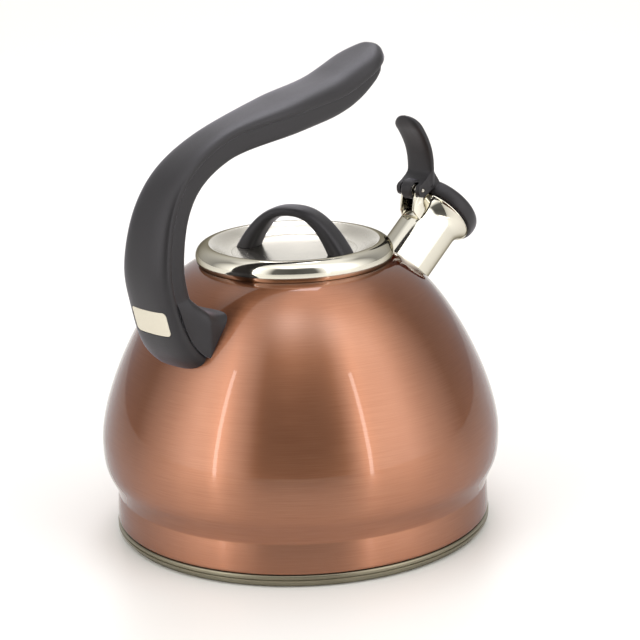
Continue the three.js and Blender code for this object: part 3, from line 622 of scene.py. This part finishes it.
def turning_tree():
    """Turns an outline of (radius, 0, height) points about Z."""
    if "turned" in bpy.data.node_groups:
        return bpy.data.node_groups["turned"]
    tree = group("turned")
    named_input(tree, "Segments", "Int")
    named_input(tree, "Material", "Material")
    source = add(tree, "NodeGroupInput")
    outline = source.outputs["Geometry"]
    count = add(tree, "GeometryNodeAttributeDomainSize", {"Geometry": outline}).outputs["Point Count"]
    columns = calc(tree, "ADD", source.outputs["Segments"], 1.0)
    grid_sizes = {"Size X": 1.0, "Size Y": 1.0, "Vertices X": columns, "Vertices Y": count}
    grid = add(tree, "GeometryNodeMeshGrid", grid_sizes).outputs["Mesh"]
    here = add(tree, "ShaderNodeSeparateXYZ", {0: add(tree, "GeometryNodeInputPosition").outputs[0]})
    angle = calc(tree, "MULTIPLY", calc(tree, "ADD", here.outputs["X"], 0.5), 2 * math.pi)
    row = calc(tree, "ADD", here.outputs["Y"], 0.5)
    index = calc(tree, "ROUND", calc(tree, "MULTIPLY", row, calc(tree, "SUBTRACT", count, 1.0)))
    sample = add(tree, "GeometryNodeSampleIndex", data_type="FLOAT_VECTOR", domain="POINT")
    position = add(tree, "GeometryNodeInputPosition").outputs[0]
    connect(tree, sample, {"Geometry": outline, "Value": position, "Index": index})
    point = add(tree, "ShaderNodeSeparateXYZ", {0: sample.outputs[0]})
    x = calc(tree, "MULTIPLY", point.outputs["X"], calc(tree, "COSINE", angle))
    y = calc(tree, "MULTIPLY", point.outputs["X"], calc(tree, "SINE", angle))
    target = add(tree, "ShaderNodeCombineXYZ", {"X": x, "Y": y, "Z": point.outputs["Z"]}).outputs[0]
    skin = add(tree, "GeometryNodeSetPosition", {"Geometry": grid, "Position": target}).outputs[0]
    finish_tree(tree, skin, source)
    return tree


def wire_tree():
    """Sweeps a round section along a path of points."""
    tree = group("wire")
    named_input(tree, "Radius", "Float")
    named_input(tree, "Material", "Material")
    source = add(tree, "NodeGroupInput")
    path = add(tree, "GeometryNodeMeshToCurve", {"Mesh": source.outputs["Geometry"]}).outputs[0]
    circle = {"Resolution": 14, "Radius": source.outputs["Radius"]}
    section = add(tree, "GeometryNodeCurvePrimitiveCircle", circle)
    sweep = {"Curve": path, "Profile Curve": section.outputs["Curve"], "Fill Caps": True}
    finish_tree(tree, add(tree, "GeometryNodeCurveToMesh", sweep).outputs[0], source)
    return tree


def copies_tree():
    """Sets one copy of an object on each point."""
    tree = group("copies")
    named_input(tree, "Original", "Object")
    named_input(tree, "Material", "Material")
    source = add(tree, "NodeGroupInput")
    original = add(tree, "GeometryNodeObjectInfo", {"Object": source.outputs["Original"]}).outputs["Geometry"]
    spread = {"Points": source.outputs["Geometry"], "Instance": original}
    finish_tree(tree, add(tree, "GeometryNodeInstanceOnPoints", spread).outputs[0], source)
    return tree


def point_cloud(points):
    mesh = bpy.data.meshes.new("points")
    edges = [(i, i + 1) for i in range(len(points) - 1)]
    mesh.from_pydata([tuple(Vector(p) * MM) for p in points], edges, [])
    return placed("points", mesh)


def turned(outline, material=STEEL, closed=True, segments=None):
    """A solid of revolution about Z from (radius, height) points."""
    points = [(r, 0, z) for r, z in outline]
    if closed:
        points.append(points[0])
    thing = point_cloud(points)
    return apply_tree(thing, turning_tree(), Segments=segments or sizes().segments, Material=MADE[material])


def rod(radius, low, high, segments=48):
    return turned([(0, low), (radius, low), (radius, high), (0, high)], segments=segments)


def copies(original, places, material):
    """One mesh of several copies of an object."""
    thing = apply_tree(point_cloud(places), copies_tree(), Original=original, Material=MADE[material])
    drop(original)
    return thing


# ---------------- the bowl and its base


def bowl_outline():
    """The bowl's outer outline from the floor's middle to the bottom of its neck."""
    s = sizes()
    rise = math.radians(74)
    fall = math.radians(13.8)
    lower_pull, upper_pull = 12, 26.8
    lower = bezier(
        (s.waist_r, WAIST_Z),
        (s.waist_r + lower_pull * math.cos(rise), WAIST_Z + lower_pull * math.sin(rise)),
        (s.belly_r, BELLY_Z - 17),
        (s.belly_r, BELLY_Z),
        24,
    )
    upper = bezier(
        (s.belly_r, BELLY_Z),
        (s.belly_r, BELLY_Z + 24),
        (s.mouth_r + upper_pull * math.cos(fall), MOUTH_Z - upper_pull * math.sin(fall)),
        (s.mouth_r, MOUTH_Z),
        64,
    )
    roll_w = s.mouth_r - NECK_R
    crest = MOUTH_Z + roll_w * math.tan(fall)
    roll_end = (NECK_R, MOUTH_Z - roll_w)
    roll = bezier((s.mouth_r, MOUTH_Z), (NECK_R + 1.4, crest - 0.3), (NECK_R, crest - 0.8), roll_end, 10)
    foot = [(0, FLOOR_Z), (93.7, FLOOR_Z), (94.4, 6.7), (94.7, 7.3), (94.7, 8), (94.1, 21), (94.0, 21.4)]
    return foot + lower + upper[1:] + roll[1:] + [(NECK_R, NECK_FOOT_Z)]


def bowl_solid(clearance):
    """The bowl as a full solid, grown by a clearance."""
    skin = offset(bowl_outline(), -clearance)
    return turned([(0, skin[0][1])] + skin[1:] + [(0, skin[-1][1])], closed=False)


def make_bowl():
    outer = bowl_outline()
    inner = offset(outer, sizes().wall)
    inner[0] = (0, FLOOR_Z + sizes().wall)
    bowl = turned(outer + inner[::-1])
    combine(bowl, [moved(rod(sizes().tube_r - TUBE_T, -30, 0, 96), TUBE_FRAME)], "DIFFERENCE")

    def inside(face):
        middle = face.center / MM
        radius = math.hypot(middle.x, middle.y)
        inward = face.normal.x * middle.x + face.normal.y * middle.y < -0.2 * radius
        floor = face.normal.z > 0.8 and middle.z < 20
        return inward or floor or (face.normal.z < -0.5 and middle.z > 60)

    two_finishes(bowl, "copper_lacquer_on_brushed_steel", INSIDE, inside)
    settled(bowl, "bowl", "kettle", None, "body_shell", angle=40)


def make_base():
    plate = turned([(0, 0), (92.2, 0), (92.9, 0.3), (93.2, 0.9), (93.2, 1.9), (0, 1.9)], closed=False)
    settled(plate, "capsule_underside", "kettle", DULL, "base_plate")
    core = turned([(0, 2.2), (90.5, 2.2), (90.5, 6.2), (0, 6.2)], closed=False)
    settled(core, "capsule_core", "kettle", "rolled_aluminium", "base_core")
    low, inner_r, edge = 2.2, 91.1, 0.9
    groove_r = BASE_R - 0.55
    outline = [(inner_r, low), (BASE_R - edge, low)]
    outline += arc((BASE_R - edge, low + edge), edge, edge, -90, 0, 6)
    outline += [(BASE_R, low + 1.45), (groove_r, low + 1.75), (groove_r, low + 2.15), (BASE_R, low + 2.45)]
    outline += arc((BASE_R - edge, low + 4 - edge), edge, edge, 0, 90, 6)
    outline += [(inner_r, low + 4)]
    settled(turned(outline), "capsule_rim", "kettle", DULL, "base_rim", angle=50)


# ---------------- the lid


def dish_slope(crest, inner_r, low):
    """The rim's inner slope, from its crest down to the flat disc."""
    rim_r = sizes().rim_r
    return bezier((rim_r, crest), (rim_r - 2.7, crest), (inner_r + 5.7, low), (inner_r, low), 24)


def make_lid():
    s = sizes()
    middle = (s.rim_r, LID_RIM_Z)
    inner_r = s.rim_r - 11.9
    half_h, sheet = 6.0, 1.2
    ledge_r, ledge_top, ledge_low = inner_r - 2.5, DISC_TOP_Z - 1.3, DISC_TOP_Z - 2.3
    outline = arc(middle, s.rim_half, half_h, -37, 88, 36)
    outline += dish_slope(LID_RIM_Z + half_h, inner_r, DISC_TOP_Z)
    outline += [(inner_r, ledge_top), (ledge_r, ledge_top), (ledge_r, ledge_low)]
    outline += dish_slope(LID_RIM_Z + half_h - sheet, inner_r + 1, ledge_low)[::-1]
    outline += arc(middle, s.rim_half - sheet, half_h - sheet, 88, -37, 30)
    rim = turned(outline)

    def within_crest(face):
        # The polishing stops at the crest, so the rim's inner slope is satin like the disc
        return math.hypot(face.center.x, face.center.y) < (s.rim_r - 0.6) * MM

    two_finishes(rim, MIRROR, SATIN, within_crest)
    settled(rim, "lid_rolled_rim", "lid", None, "lid_rim", angle=50)
    skirt = turned(rectangle(41.2, 42.2, 126, 143.6, 0.4, 3))
    settled(skirt, "lid_skirt_ring", "lid", INSIDE, "lid_skirt")
    edge = inner_r - 0.03
    top = [(edge, DISC_TOP_Z - 0.1), (edge - 0.1, DISC_TOP_Z), (0, DISC_TOP_Z)]
    plate = turned([(0, DISC_TOP_Z - 1), (edge, DISC_TOP_Z - 1)] + top, closed=False)
    settled(plate, "lid_disc", "lid", SATIN, "lid_plate")


def arch_point(x):
    return Vector((x, DISC_TOP_Z + 20 * (1 - abs(x / GRIP_SPAN) ** 2.4)))


def make_lid_grip():
    rings = []
    steps = 72
    for i in range(steps + 1):
        x = GRIP_SPAN * 1.06 * math.sin((i / steps - 0.5) * math.pi * 0.98)
        here = arch_point(x)
        run = (arch_point(x + 0.01) - arch_point(x - 0.01)).normalized()
        low = min(abs(x) / GRIP_SPAN, 1) ** 2
        half_w = 6 + low
        half_t = (5 + 4.6 * low) / 2
        ring = []
        for across_share, out_share in boxy_ring(40, 0.62, 0.75):
            out = half_t * out_share
            ring.append((here.x - run.y * out, half_w * across_share, here.y + run.x * out))
        rings.append(ring)
    below_disc = block((-60, -60, 80), (60, 60, DISC_TOP_Z + 0.15))
    grip = moved(combine(lofted("grip", rings), [below_disc], "DIFFERENCE"), GRIP_FRAME)
    settled(grip, "lid_grip", "lid", BLACK, "lid_arch", angle=50)


def screw(head_r, head_h, shank_r, length):
    """A screw with a cross recess, its head's top at zero and its shank along +Z."""
    body = turned(
        [(0, 0), (head_r * 0.6, 0.05), (head_r * 0.92, head_h * 0.4), (head_r, head_h), (shank_r, head_h)]
        + [(shank_r - 0.15 * (i % 2), head_h + (length - head_h) * i / 16) for i in range(17)]
        + [(0, length)],
        closed=False,
        segments=48,
    )
    arm = head_r * 0.62
    slots = [block((-arm, -0.35, -1), (arm, 0.35, 1.1)), block((-0.35, -arm, -1), (0.35, arm, 1.1))]
    return combine(body, slots, "DIFFERENCE")


def make_lid_fixings():
    places = [GRIP_FRAME @ Vector((x, 0, 0)) for x in (-24.2, 24.2)]
    washer = turned(rectangle(1.7, 4, 138.9, 139.7, 0.2), segments=64)
    pair = copies(washer, places, STEEL)
    settled(pair, "grip_washers", "lid", STEEL, "lid_washer_front", "lid_washer_back")
    heads = [p + Vector((0, 0, 136.7)) for p in places]
    screws = copies(screw(3, 2, 1.4, 9.8), heads, STEEL)
    settled(screws, "grip_screws", "lid", STEEL, "lid_screw_front", "lid_screw_back")


# ---------------- the spout


def make_spout():
    s = sizes()
    flare = bezier((s.tube_r, 20), (s.tube_r, 24), (s.lip_r - 1.5, 26.8), (s.lip_r - 0.35, 27.9), 16)
    outer = [(s.tube_r, -24)] + flare
    inner = offset(outer, TUBE_T)
    lip = arc((s.lip_r - 0.6, 27.6), 0.6, 0.6, -20, 110, 6)
    tube = moved(turned(outer[:-1] + lip + inner[::-1]), TUBE_FRAME)
    combine(tube, [bowl_solid(0.02)], "DIFFERENCE")
    settled(tube, "spout", "kettle", MIRROR, "spout_tube", angle=45)


def make_bracket():
    bracket = bevelled(copy_of("cap_bracket"), 0.22, 2, 40)
    settled(bracket, "cap_bracket_fold", "kettle", MIRROR, "cap_bracket", angle=40)
    pin = turned([(0, -8), (0.8, -8), (1, -7.8), (1, 7.8), (0.8, 8), (0, 8)], closed=False, segments=48)
    moved(pin, Matrix.Translation(PIVOT) @ Matrix.Rotation(math.pi / 2, 4, "X"))
    settled(pin, "hinge_pin", "kettle", STEEL, "pivot_pin")


def spring_path():
    """The spring's line: a fixed leg, four turns round the pin and a short moving leg."""
    points = []
    turn = 8 * math.pi
    fixed_leg, coil, moving_leg = 6, turn * COIL_R, 1.2
    steps = 240
    for i in range(steps + 1):
        along = i / steps * (fixed_leg + coil + moving_leg) - fixed_leg
        angle = min(max(along / coil, 0), 1) * turn
        past = along if along < 0 else max(along - coil, 0)
        x = COIL_R * math.cos(angle) - past * math.sin(angle)
        z = COIL_R * math.sin(angle) + past * math.cos(angle)
        points.append(Vector((x, COIL_R * (2 * angle / turn - 1), z)) + PIVOT)
    return points


def make_spring():
    radius = sizes().wire_r * MM
    wire = apply_tree(point_cloud(spring_path()), wire_tree(), Radius=radius, Material=MADE[STEEL])
    settled(wire, "cap_return_spring", None, STEEL, "cap_spring")
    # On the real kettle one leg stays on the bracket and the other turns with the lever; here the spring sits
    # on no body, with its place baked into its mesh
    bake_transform(wire)


# ---------------- the whistle cap and its lever


def cap_cup():
    r = sizes().cap_r
    at, back = 28.7, 38.3
    outline = [(r - 1.4, at), (r - 1.0, at)]
    outline += bezier((r - 0.9, at), (r - 0.1, at + 1.4), (r, at + 3), (r, at + 4.2), 10)
    outline += bezier((r, at + 4.3), (r, at + 8), (18.4, back - 0.5), (14.5, back - 0.15), 14)
    outline += [(10.4, back)]
    outline += arc((9.4, back - 1), 1, 1, 90, 180, 5)
    seat_r = WHISTLE_R + 0.3
    outline += [(8.4, back - 2), (seat_r, back - 2), (seat_r, at + 2.8), (18.2, at + 2.8), (18.2, at)]
    return moved(turned(outline, segments=128), TUBE_FRAME)


def lever_blade():
    rings = []
    steps, fine = 48, 400
    line = bezier((6.6, 1.5), (8.6, 16), (8, 24), (-5.2, 39.4), fine)
    length = sum(math.dist(a, b) for a, b in zip(line, line[1:]))
    for i in range(steps + 1):
        t = math.sin(i / steps * math.pi / 2)
        k = min(int(t * fine), fine - 1)
        here = Vector(line[k]).lerp(Vector(line[k + 1]), t * fine - k)
        run = (Vector(line[k + 1]) - Vector(line[k])).normalized()
        left = max((1 - t) * length, 0)
        round_off = math.sqrt(1 - (1 - min(left / 5.5, 1)) ** 2)
        half_w = BLADE_HALF_W * max(round_off, 0.05)
        half_t = 2 * max(round_off, 0.3) * (1 + 0.25 * t)
        ring = []
        for across_share, out_share in boxy_ring(40, 0.6, 0.7):
            y = half_w * across_share
            out = half_t * out_share - 0.9 * t * (y / BLADE_HALF_W) ** 2
            ring.append(Vector((here.x + run.y * out, y, here.y - run.x * out)) + PIVOT)
        rings.append(ring)
    return lofted("blade", rings)


def across(outline, low, high):
    """A plate over an (x, z) outline on the pivot, between two places along Y."""
    turn = Matrix(((1, 0, 0, 0), (0, 0, 1, 0), (0, 1, 0, 0), (0, 0, 0, 1)))
    plate = prism(outline, low, high, Matrix.Translation(PIVOT) @ turn)
    tidy(plate)
    return plate


def disc_across(radius, half):
    return across(arc((0, 0), radius, radius, 0, 360 - 7.5, 47), -half, half)


def make_lever():
    to_pivot = Matrix.Translation(-PIVOT) @ TUBE_FRAME
    near = to_pivot @ Vector((-20.4, 0, 30.1))
    far = to_pivot @ Vector((-19.4, 0, 35.9))
    ears = [(8.8, 9)] + bezier((5.6, 9), (4.6, 7), (2.4, 5.4), (-1.15, 3.5), 8)
    ears += arc((0, 0), 3.7, 3.7, 108, 306, 28)
    ears += [(near.x, near.z), (far.x, far.z)]
    yoke = across(ears, -8, 8)
    combine(yoke, [disc_across(5.2, 3.4)], "UNION")
    cheek_slot = [(-9, -9), (7.6, -9), (7.6, 4.1), (-9, 4.1)]
    spring_room = [(-1.7, -9), (8, -9), (8, -1.3), (-1.7, -1.3)]
    cutters = [across(cheek_slot, 3.4, 5.4), across(cheek_slot, -5.4, -3.4), across(spring_room, -3.4, 3.4)]
    lever = combine(yoke, [lever_blade(), cap_cup()], "UNION")
    softened(lever, 0.42, 5)
    cutters += [disc_across(4, 5.4), disc_across(1.3, 20)]
    combine(lever, cutters, "DIFFERENCE")
    settled(lever, "whistle_cap_and_lever", "cap", BLACK, "thumb_lever", angle=50)


def make_whistle():
    hole_r, spacer_r, sheet = 1.5, 10.1, 0.8
    first, second = 31.8, 35.2
    rows = (
        ("whistle_inner_disc", "whistle_inner_plate", hole_r, first, first + sheet, 0.15),
        ("whistle_outer_disc", "whistle_outer_plate", hole_r, second, second + sheet, 0.15),
        ("whistle_spacer", "whistle_ring", spacer_r, first + 1.1, second - 0.3, 0.3),
    )
    for name, node, inner_r, low, high, edge in rows:
        ring = turned(rectangle(inner_r, WHISTLE_R, low, high, edge), segments=96)
        settled(moved(ring, TUBE_FRAME), name, "cap", STEEL, node)


# ---------------- the handle


def handle_line(count=600):
    """The handle's crease as evenly spaced (point, direction) pairs on a centripetal curve."""
    points = [Vector(p) for p in HANDLE_POINTS]
    points = [2 * points[0] - points[1]] + points + [2 * points[-1] - points[-2]]
    fine = []
    for i in range(1, len(points) - 2):
        p0, p1, p2, p3 = points[i - 1 : i + 3]
        d0, d1, d2 = ((b - a).length ** 0.5 for a, b in ((p0, p1), (p1, p2), (p2, p3)))
        m1 = ((p1 - p0) / d0 - (p2 - p0) / (d0 + d1) + (p2 - p1) / d1) * d1
        m2 = ((p2 - p1) / d1 - (p3 - p1) / (d1 + d2) + (p3 - p2) / d2) * d1
        for k in range(80):
            t = k / 80
            a = -3 * p1 + 3 * p2 - 2 * m1 - m2
            b = 2 * p1 - 2 * p2 + m1 + m2
            fine.append(p1 + m1 * t + a * t * t + b * t**3)
    fine.append(points[-2])
    lengths = [0.0]
    for a, b in zip(fine, fine[1:]):
        lengths.append(lengths[-1] + (b - a).length)
    even = []
    k = 0
    for i in range(count + 1):
        goal = lengths[-1] * i / count
        while k < len(fine) - 2 and lengths[k + 1] < goal:
            k += 1
        t = (goal - lengths[k]) / (lengths[k + 1] - lengths[k])
        even.append((fine[k].lerp(fine[k + 1], min(t, 1)), (fine[k + 1] - fine[k]).normalized()))
    return even, lengths[-1]


def tip_fade(left, stretch):
    rest = min(max(left / stretch, 0), 1)
    return math.sqrt(max(1 - (1 - rest) ** 2, 0.002))


def handle_half(at, left):
    stations = [(0, 18.1), (0.18, sizes().strap_half), (0.53, 11.0), (0.73, 16.9), (0.95, 16.2)]
    return tip_fade(left, 20) * blended(stations, at)


def handle_loft(section, steps=150, fine_from=0.7):
    """Rings along the handle's line, set closer and closer towards its tip."""
    line, length = handle_line()
    rings = []
    for i in range(steps + 1):
        t = i / steps
        if t >= fine_from:
            tip = 1 - fine_from
            t = 1 - tip * (1 - math.sin((t - fine_from) / tip * math.pi / 2))
        here, run = line[round(t * (len(line) - 1))]
        section_points = section(t, (1 - t) * length)
        rings.append([(here.x - run.y * out, y, here.y + run.x * out) for y, out in section_points])
    return lofted("strap", rings)


def edge_depth(left):
    """How far the outer half's flat edge stands below the crease."""
    return SHELL_EDGE * tip_fade(left, 3.4)


def crown_section(depth, count=40):
    def section(at, left):
        half = handle_half(at, left)
        crown = blended([(0, 7), (0.03, 7), (0.15, 5.1), (0.5, 2.9), (0.87, 6.9), (1, 4.6)], at) - depth
        fade = tip_fade(left, 3.4)
        low = -edge_depth(left)
        edge = min(0.15, half / 4)
        ring = []
        for j in range(count + 1):
            angle = j / count * math.pi
            ring.append((half * bent(math.cos(angle), 0.75), crown * fade * bent(math.sin(angle), 0.9)))
        ring += [(-half, edge + low), (edge - half, low), (half - edge, low), (half, edge + low)]
        return ring

    return section


def core_section(at, left):
    half = max(handle_half(at, left) - 0.1, 0.3)
    top = 2.5
    depth = 9.9 * tip_fade(left - 11.9, 61) + 4.2
    return [(half * y, top + depth / 2 * (out - 1)) for y, out in boxy_ring(48, 0.4, 0.4)]


def above_parting(at, left):
    """Everything on the outer half's side of the parting line."""
    low = -edge_depth(left) - 0.04
    return [(-30, low), (30, low), (30, 30), (-30, 30)]


def handle_foot():
    rings = []
    low = 97
    for i in range(41):
        x = -93 + i
        flare = min(max((x + 90) / 14, 0), 1) ** 2
        fall = math.sin(min(max((x + 84) / 18, 0), 1) * math.pi / 2)
        half = 17.2 + 3.3 * flare
        high = 138 - 12.4 * fall
        middle, rise = (high + low) / 2, (high - low) / 2
        rings.append([(x, half * y, middle + rise * up) for y, up in boxy_ring(48, 0.35, 0.35)])
    return lofted("foot", rings)


def badge_prism(clearance):
    line, _ = handle_line()
    here, run = next((p, d) for p, d in line if p.y > 125.8)
    half_w, half_h = 12 + clearance, 6.25 + clearance
    outline = rectangle(-half_w, half_w, -half_h, half_h, 2.5, 8)
    place = Matrix(((0, run.x, -run.y, here.x), (-1, 0, 0, 0), (0, run.y, run.x, here.y), (0, 0, 0, 1)))
    bar = prism(outline, 0, 20, place)
    tidy(bar)
    return bar


def bore(radius, low, high, y):
    turn = Matrix.Translation((0, y, FOOT_SCREW_Z)) @ Matrix.Rotation(math.pi / 2, 4, "Y")
    return moved(rod(radius, low, high), turn)


def make_handle():
    shell = handle_loft(crown_section(0))
    seat = combine(badge_prism(0.25), [handle_loft(crown_section(1.35))], "DIFFERENCE")
    bores = [bore(2.9, -106, -81.5, y) for y in FOOT_SCREW_Y]
    combine(shell, [seat, *bores, bowl_solid(0.05)], "DIFFERENCE")
    settled(shell, "handle_outer_half", "kettle", BLACK, "handle_shell", angle=50)
    core = combine(handle_loft(core_section), [handle_foot()], "UNION")
    softened(core, 0.75, 4)
    outside = handle_loft(above_parting)
    corner = (-82.3, -10.3, 113.2)
    pocket = [block(corner, (0, 10.3, 121.3)), block(corner, (-80.2, 10.3, 127.3))]
    wide = [bore(2.9, -106, -84.2, y) for y in FOOT_SCREW_Y]
    narrow = [bore(1.9, -90, -75.2, y) for y in FOOT_SCREW_Y]
    combine(core, [outside, *pocket, *wide, *narrow, bowl_solid(0.05)], "DIFFERENCE")
    settled(core, "handle_inner_half", "kettle", BLACK, "handle_core", angle=50)


def make_badge():
    badge = combine(handle_loft(crown_section(0.12)), [badge_prism(0)], "INTERSECT")
    combine(badge, [handle_loft(crown_section(1.2))], "DIFFERENCE")
    bevelled(badge, 0.25, 3, 50)
    settled(badge, "badge_blank", "kettle", "blasted_anodised_aluminium", "handle_badge", angle=40)


def make_handle_fixings():
    bracket = bevelled(copy_of("handle_bracket"), 0.3, 2, 40)
    settled(bracket, "foot_bracket", "kettle", STEEL, "handle_bracket", angle=40)
    original = moved(screw(2.6, 2, 1.6, 11), Matrix.Rotation(math.pi / 2, 4, "Y"))
    pair = copies(original, [(-86.5, y, FOOT_SCREW_Z) for y in FOOT_SCREW_Y], STEEL)
    settled(pair, "foot_screws", "kettle", STEEL, "handle_screw_left", "handle_screw_right")


# ---------------- stage


VIEW_AZIMUTH = math.radians(-44.7)
VIEW_ELEVATION = 15.62


def make_backdrop():
    """A pale floor that reaches past every view."""
    rings = [(0, 0)] + [(60 * 1.28**i, 0) for i in range(20)]
    floor = turned(rings, "matt_backdrop_paper", closed=False, segments=96)
    floor.name = "backdrop"
    if floor.data.polygons[0].normal.z < 0:
        floor.data.flip_normals()


def make_camera():
    back = towards(0, VIEW_ELEVATION)
    level = towards(90, 0)
    right, up = level, back.cross(level)
    roll = math.radians(1.84)
    right, up = right * math.cos(roll) - up * math.sin(roll), up * math.cos(roll) + right * math.sin(roll)
    data = bpy.data.cameras.new("camera")
    data.lens = 112.5
    data.sensor_width = 36
    data.clip_end = 20
    camera = placed("camera", data)
    place = Matrix((right, up, back)).transposed().to_4x4()
    place.translation = level * 0.0116 + Vector((0, 0, 0.1042)) + back * 1.0041
    camera.matrix_world = place
    bpy.context.scene.camera = camera


def towards(side, elevation):
    """The direction at so many degrees to the right of the viewing side and above the floor."""
    a = VIEW_AZIMUTH + math.radians(side)
    e = math.radians(elevation)
    return Vector((math.sin(a) * math.cos(e), -math.cos(a) * math.cos(e), math.sin(e)))


def area_light(name, side, elevation, distance, width, height, power, tint):
    """A soft box at an angle from the viewing side, facing the kettle."""
    away = towards(side, elevation)
    data = bpy.data.lights.new(name, "AREA")
    data.shape = "RECTANGLE"
    data.size = width
    data.size_y = height
    data.energy = power
    data.color = tint
    light = placed(name, data)
    light.location = away * distance + Vector((0, 0, 0.09))
    light.rotation_euler = away.to_track_quat("Z", "Y").to_euler()


def make_world():
    """A light tent: bright flanks and top, with a dim opening on the viewing side."""
    world = bpy.data.worlds.new("tent")
    bpy.context.scene.world = world
    world.use_nodes = True
    tree = world.node_tree
    tree.nodes.clear()
    ray = add(tree, "ShaderNodeTexCoord").outputs["Generated"]
    front = vector_calc(tree, "DOT_PRODUCT", ray, towards(0, 0))
    side = vector_calc(tree, "DOT_PRODUCT", ray, towards(90, 0))
    wide = calc(tree, "ABSOLUTE", calc(tree, "ARCTAN2", side, front))
    turn = between(tree, wide, 0, math.pi, 0, 1)
    ramp = add(tree, "ShaderNodeValToRGB", {0: turn})
    # Half turns away from the viewing side, and how bright the tent is there
    stops = [(0.0, 0.04), (0.14, 0.06), (0.19, 0.5), (0.27, 0.9), (0.36, 1.0)]
    stops += [(0.45, 0.55), (0.6, 0.14), (0.85, 0.3), (1.0, 0.4)]
    elements = ramp.color_ramp.elements
    for place, value in stops[1:-1]:
        elements.new(place)
    for element, (place, value) in zip(elements, stops):
        element.position = place
        element.color = (value, value * 0.985, value * 0.965, 1)
    height = add(tree, "ShaderNodeSeparateXYZ", {0: ray}).outputs["Z"]
    top = between(tree, height, 0.74, 0.88, 0, 1)
    roof = (0.5, 0.495, 0.49, 1)
    shade = add(tree, "ShaderNodeMix", {0: top, 6: ramp.outputs[0], 7: roof}, data_type="RGBA").outputs[2]
    glow = 0.0
    for turn_deg, rise_deg, power in ((-9, 68, 1.1), (44, 60, 0.8)):
        near = vector_calc(tree, "DOT_PRODUCT", ray, towards(turn_deg, rise_deg))
        peak = calc(tree, "POWER", calc(tree, "MAXIMUM", near, 0.0), 60.0)
        glow = calc(tree, "MULTIPLY_ADD", peak, power, glow)
    lit = vector_calc(tree, "ADD", shade, glow)
    sky = add(tree, "ShaderNodeBackground", {"Color": lit, "Strength": 2.5})
    add(tree, "ShaderNodeOutputWorld", {"Surface": sky.outputs[0]})


def make_lights():
    for name, side in (("strip_left", -47), ("strip_right", 38)):
        area_light(name, side, 14, 1.3, 0.05, 1.1, 0.95, (1.0, 0.95, 0.93))
    area_light("soft_behind", 180, 60, 1.35, 0.4, 0.7, 4.0, (0.93, 0.92, 1.0))
    bpy.context.scene.view_settings.view_transform = "Standard"


# ---------------- operators, panel and run


def make_finishes():
    make_copper_lacquer()
    make_mirror_steel()
    make_satin_steel(SATIN, finishes().satin, 0.5, 0.2, 0.0)
    make_satin_steel(INSIDE, finishes().satin, 0.8, 0.3, 0.3)
    make_satin_steel(DULL, finishes().dull, 0.4, 0.34, 0.3)
    make_plain_steel()
    make_aluminium()
    make_soft_black()
    make_badge_satin()
    make_floor_paper()


def make_stage():
    make_backdrop()
    make_camera()
    make_world()
    make_lights()


class KettleOperator:
    """What the kettle's operators share."""

    bl_options = {"REGISTER", "UNDO"}
    steps = ()

    def execute(self, context):
        for step in self.steps:
            step()
        return {"FINISHED"}


def operator(name, label, words, *steps):
    """An operator class that takes some building steps."""
    facts = {"bl_idname": "kettle." + name, "bl_label": label, "bl_description": words, "steps": steps}
    return type("KETTLE_OT_" + name, (KettleOperator, bpy.types.Operator), facts)


OPERATORS = (
    operator("finishes", "Finishes", "Make the steel, lacquer and plastic finishes", make_finishes),
    operator("bowl", "Bowl and base", "Make the lacquered bowl and its capsule base", make_bowl, make_base),
    operator("lid", "Lid", "Make the lid, its grip and fixings", make_lid, make_lid_grip, make_lid_fixings),
    operator("spout", "Spout", "Make the spout and its spring", make_spout, make_bracket, make_spring),
    operator("cap", "Whistle cap", "Make the cap, its thumb lever and the whistle", make_lever, make_whistle),
    operator("handle", "Handle", "Make the handle", make_handle, make_badge, make_handle_fixings),
    operator("stage", "Stage", "Make the backdrop, camera and lights", make_stage),
)


class KETTLE_PT_panel(bpy.types.Panel):
    """Sizes, colours and steps of the kettle"""

    bl_idname = "KETTLE_PT_panel"
    bl_label = "Kettle"
    bl_space_type = "VIEW_3D"
    bl_region_type = "UI"
    bl_category = "Kettle"

    def draw(self, context):
        for owner in (context.scene.kettle_sizes, context.scene.kettle_finishes):
            for name in owner.__annotations__:
                self.layout.prop(owner, name)
        for item in OPERATORS:
            self.layout.operator(item.bl_idname)


CLASSES = (KettleSizes, KettleFinishes, *OPERATORS, KETTLE_PT_panel)


def register():
    for item in CLASSES:
        bpy.utils.register_class(item)
    bpy.types.Scene.kettle_sizes = PointerProperty(type=KettleSizes)
    bpy.types.Scene.kettle_finishes = PointerProperty(type=KettleFinishes)


def unregister():
    del bpy.types.Scene.kettle_finishes
    del bpy.types.Scene.kettle_sizes
    for item in reversed(CLASSES):
        bpy.utils.unregister_class(item)


def main():
    register()
    for item in OPERATORS:
        getattr(bpy.ops.kettle, item.bl_idname.split(".")[1])()


if __name__ == "__main__":
    main()
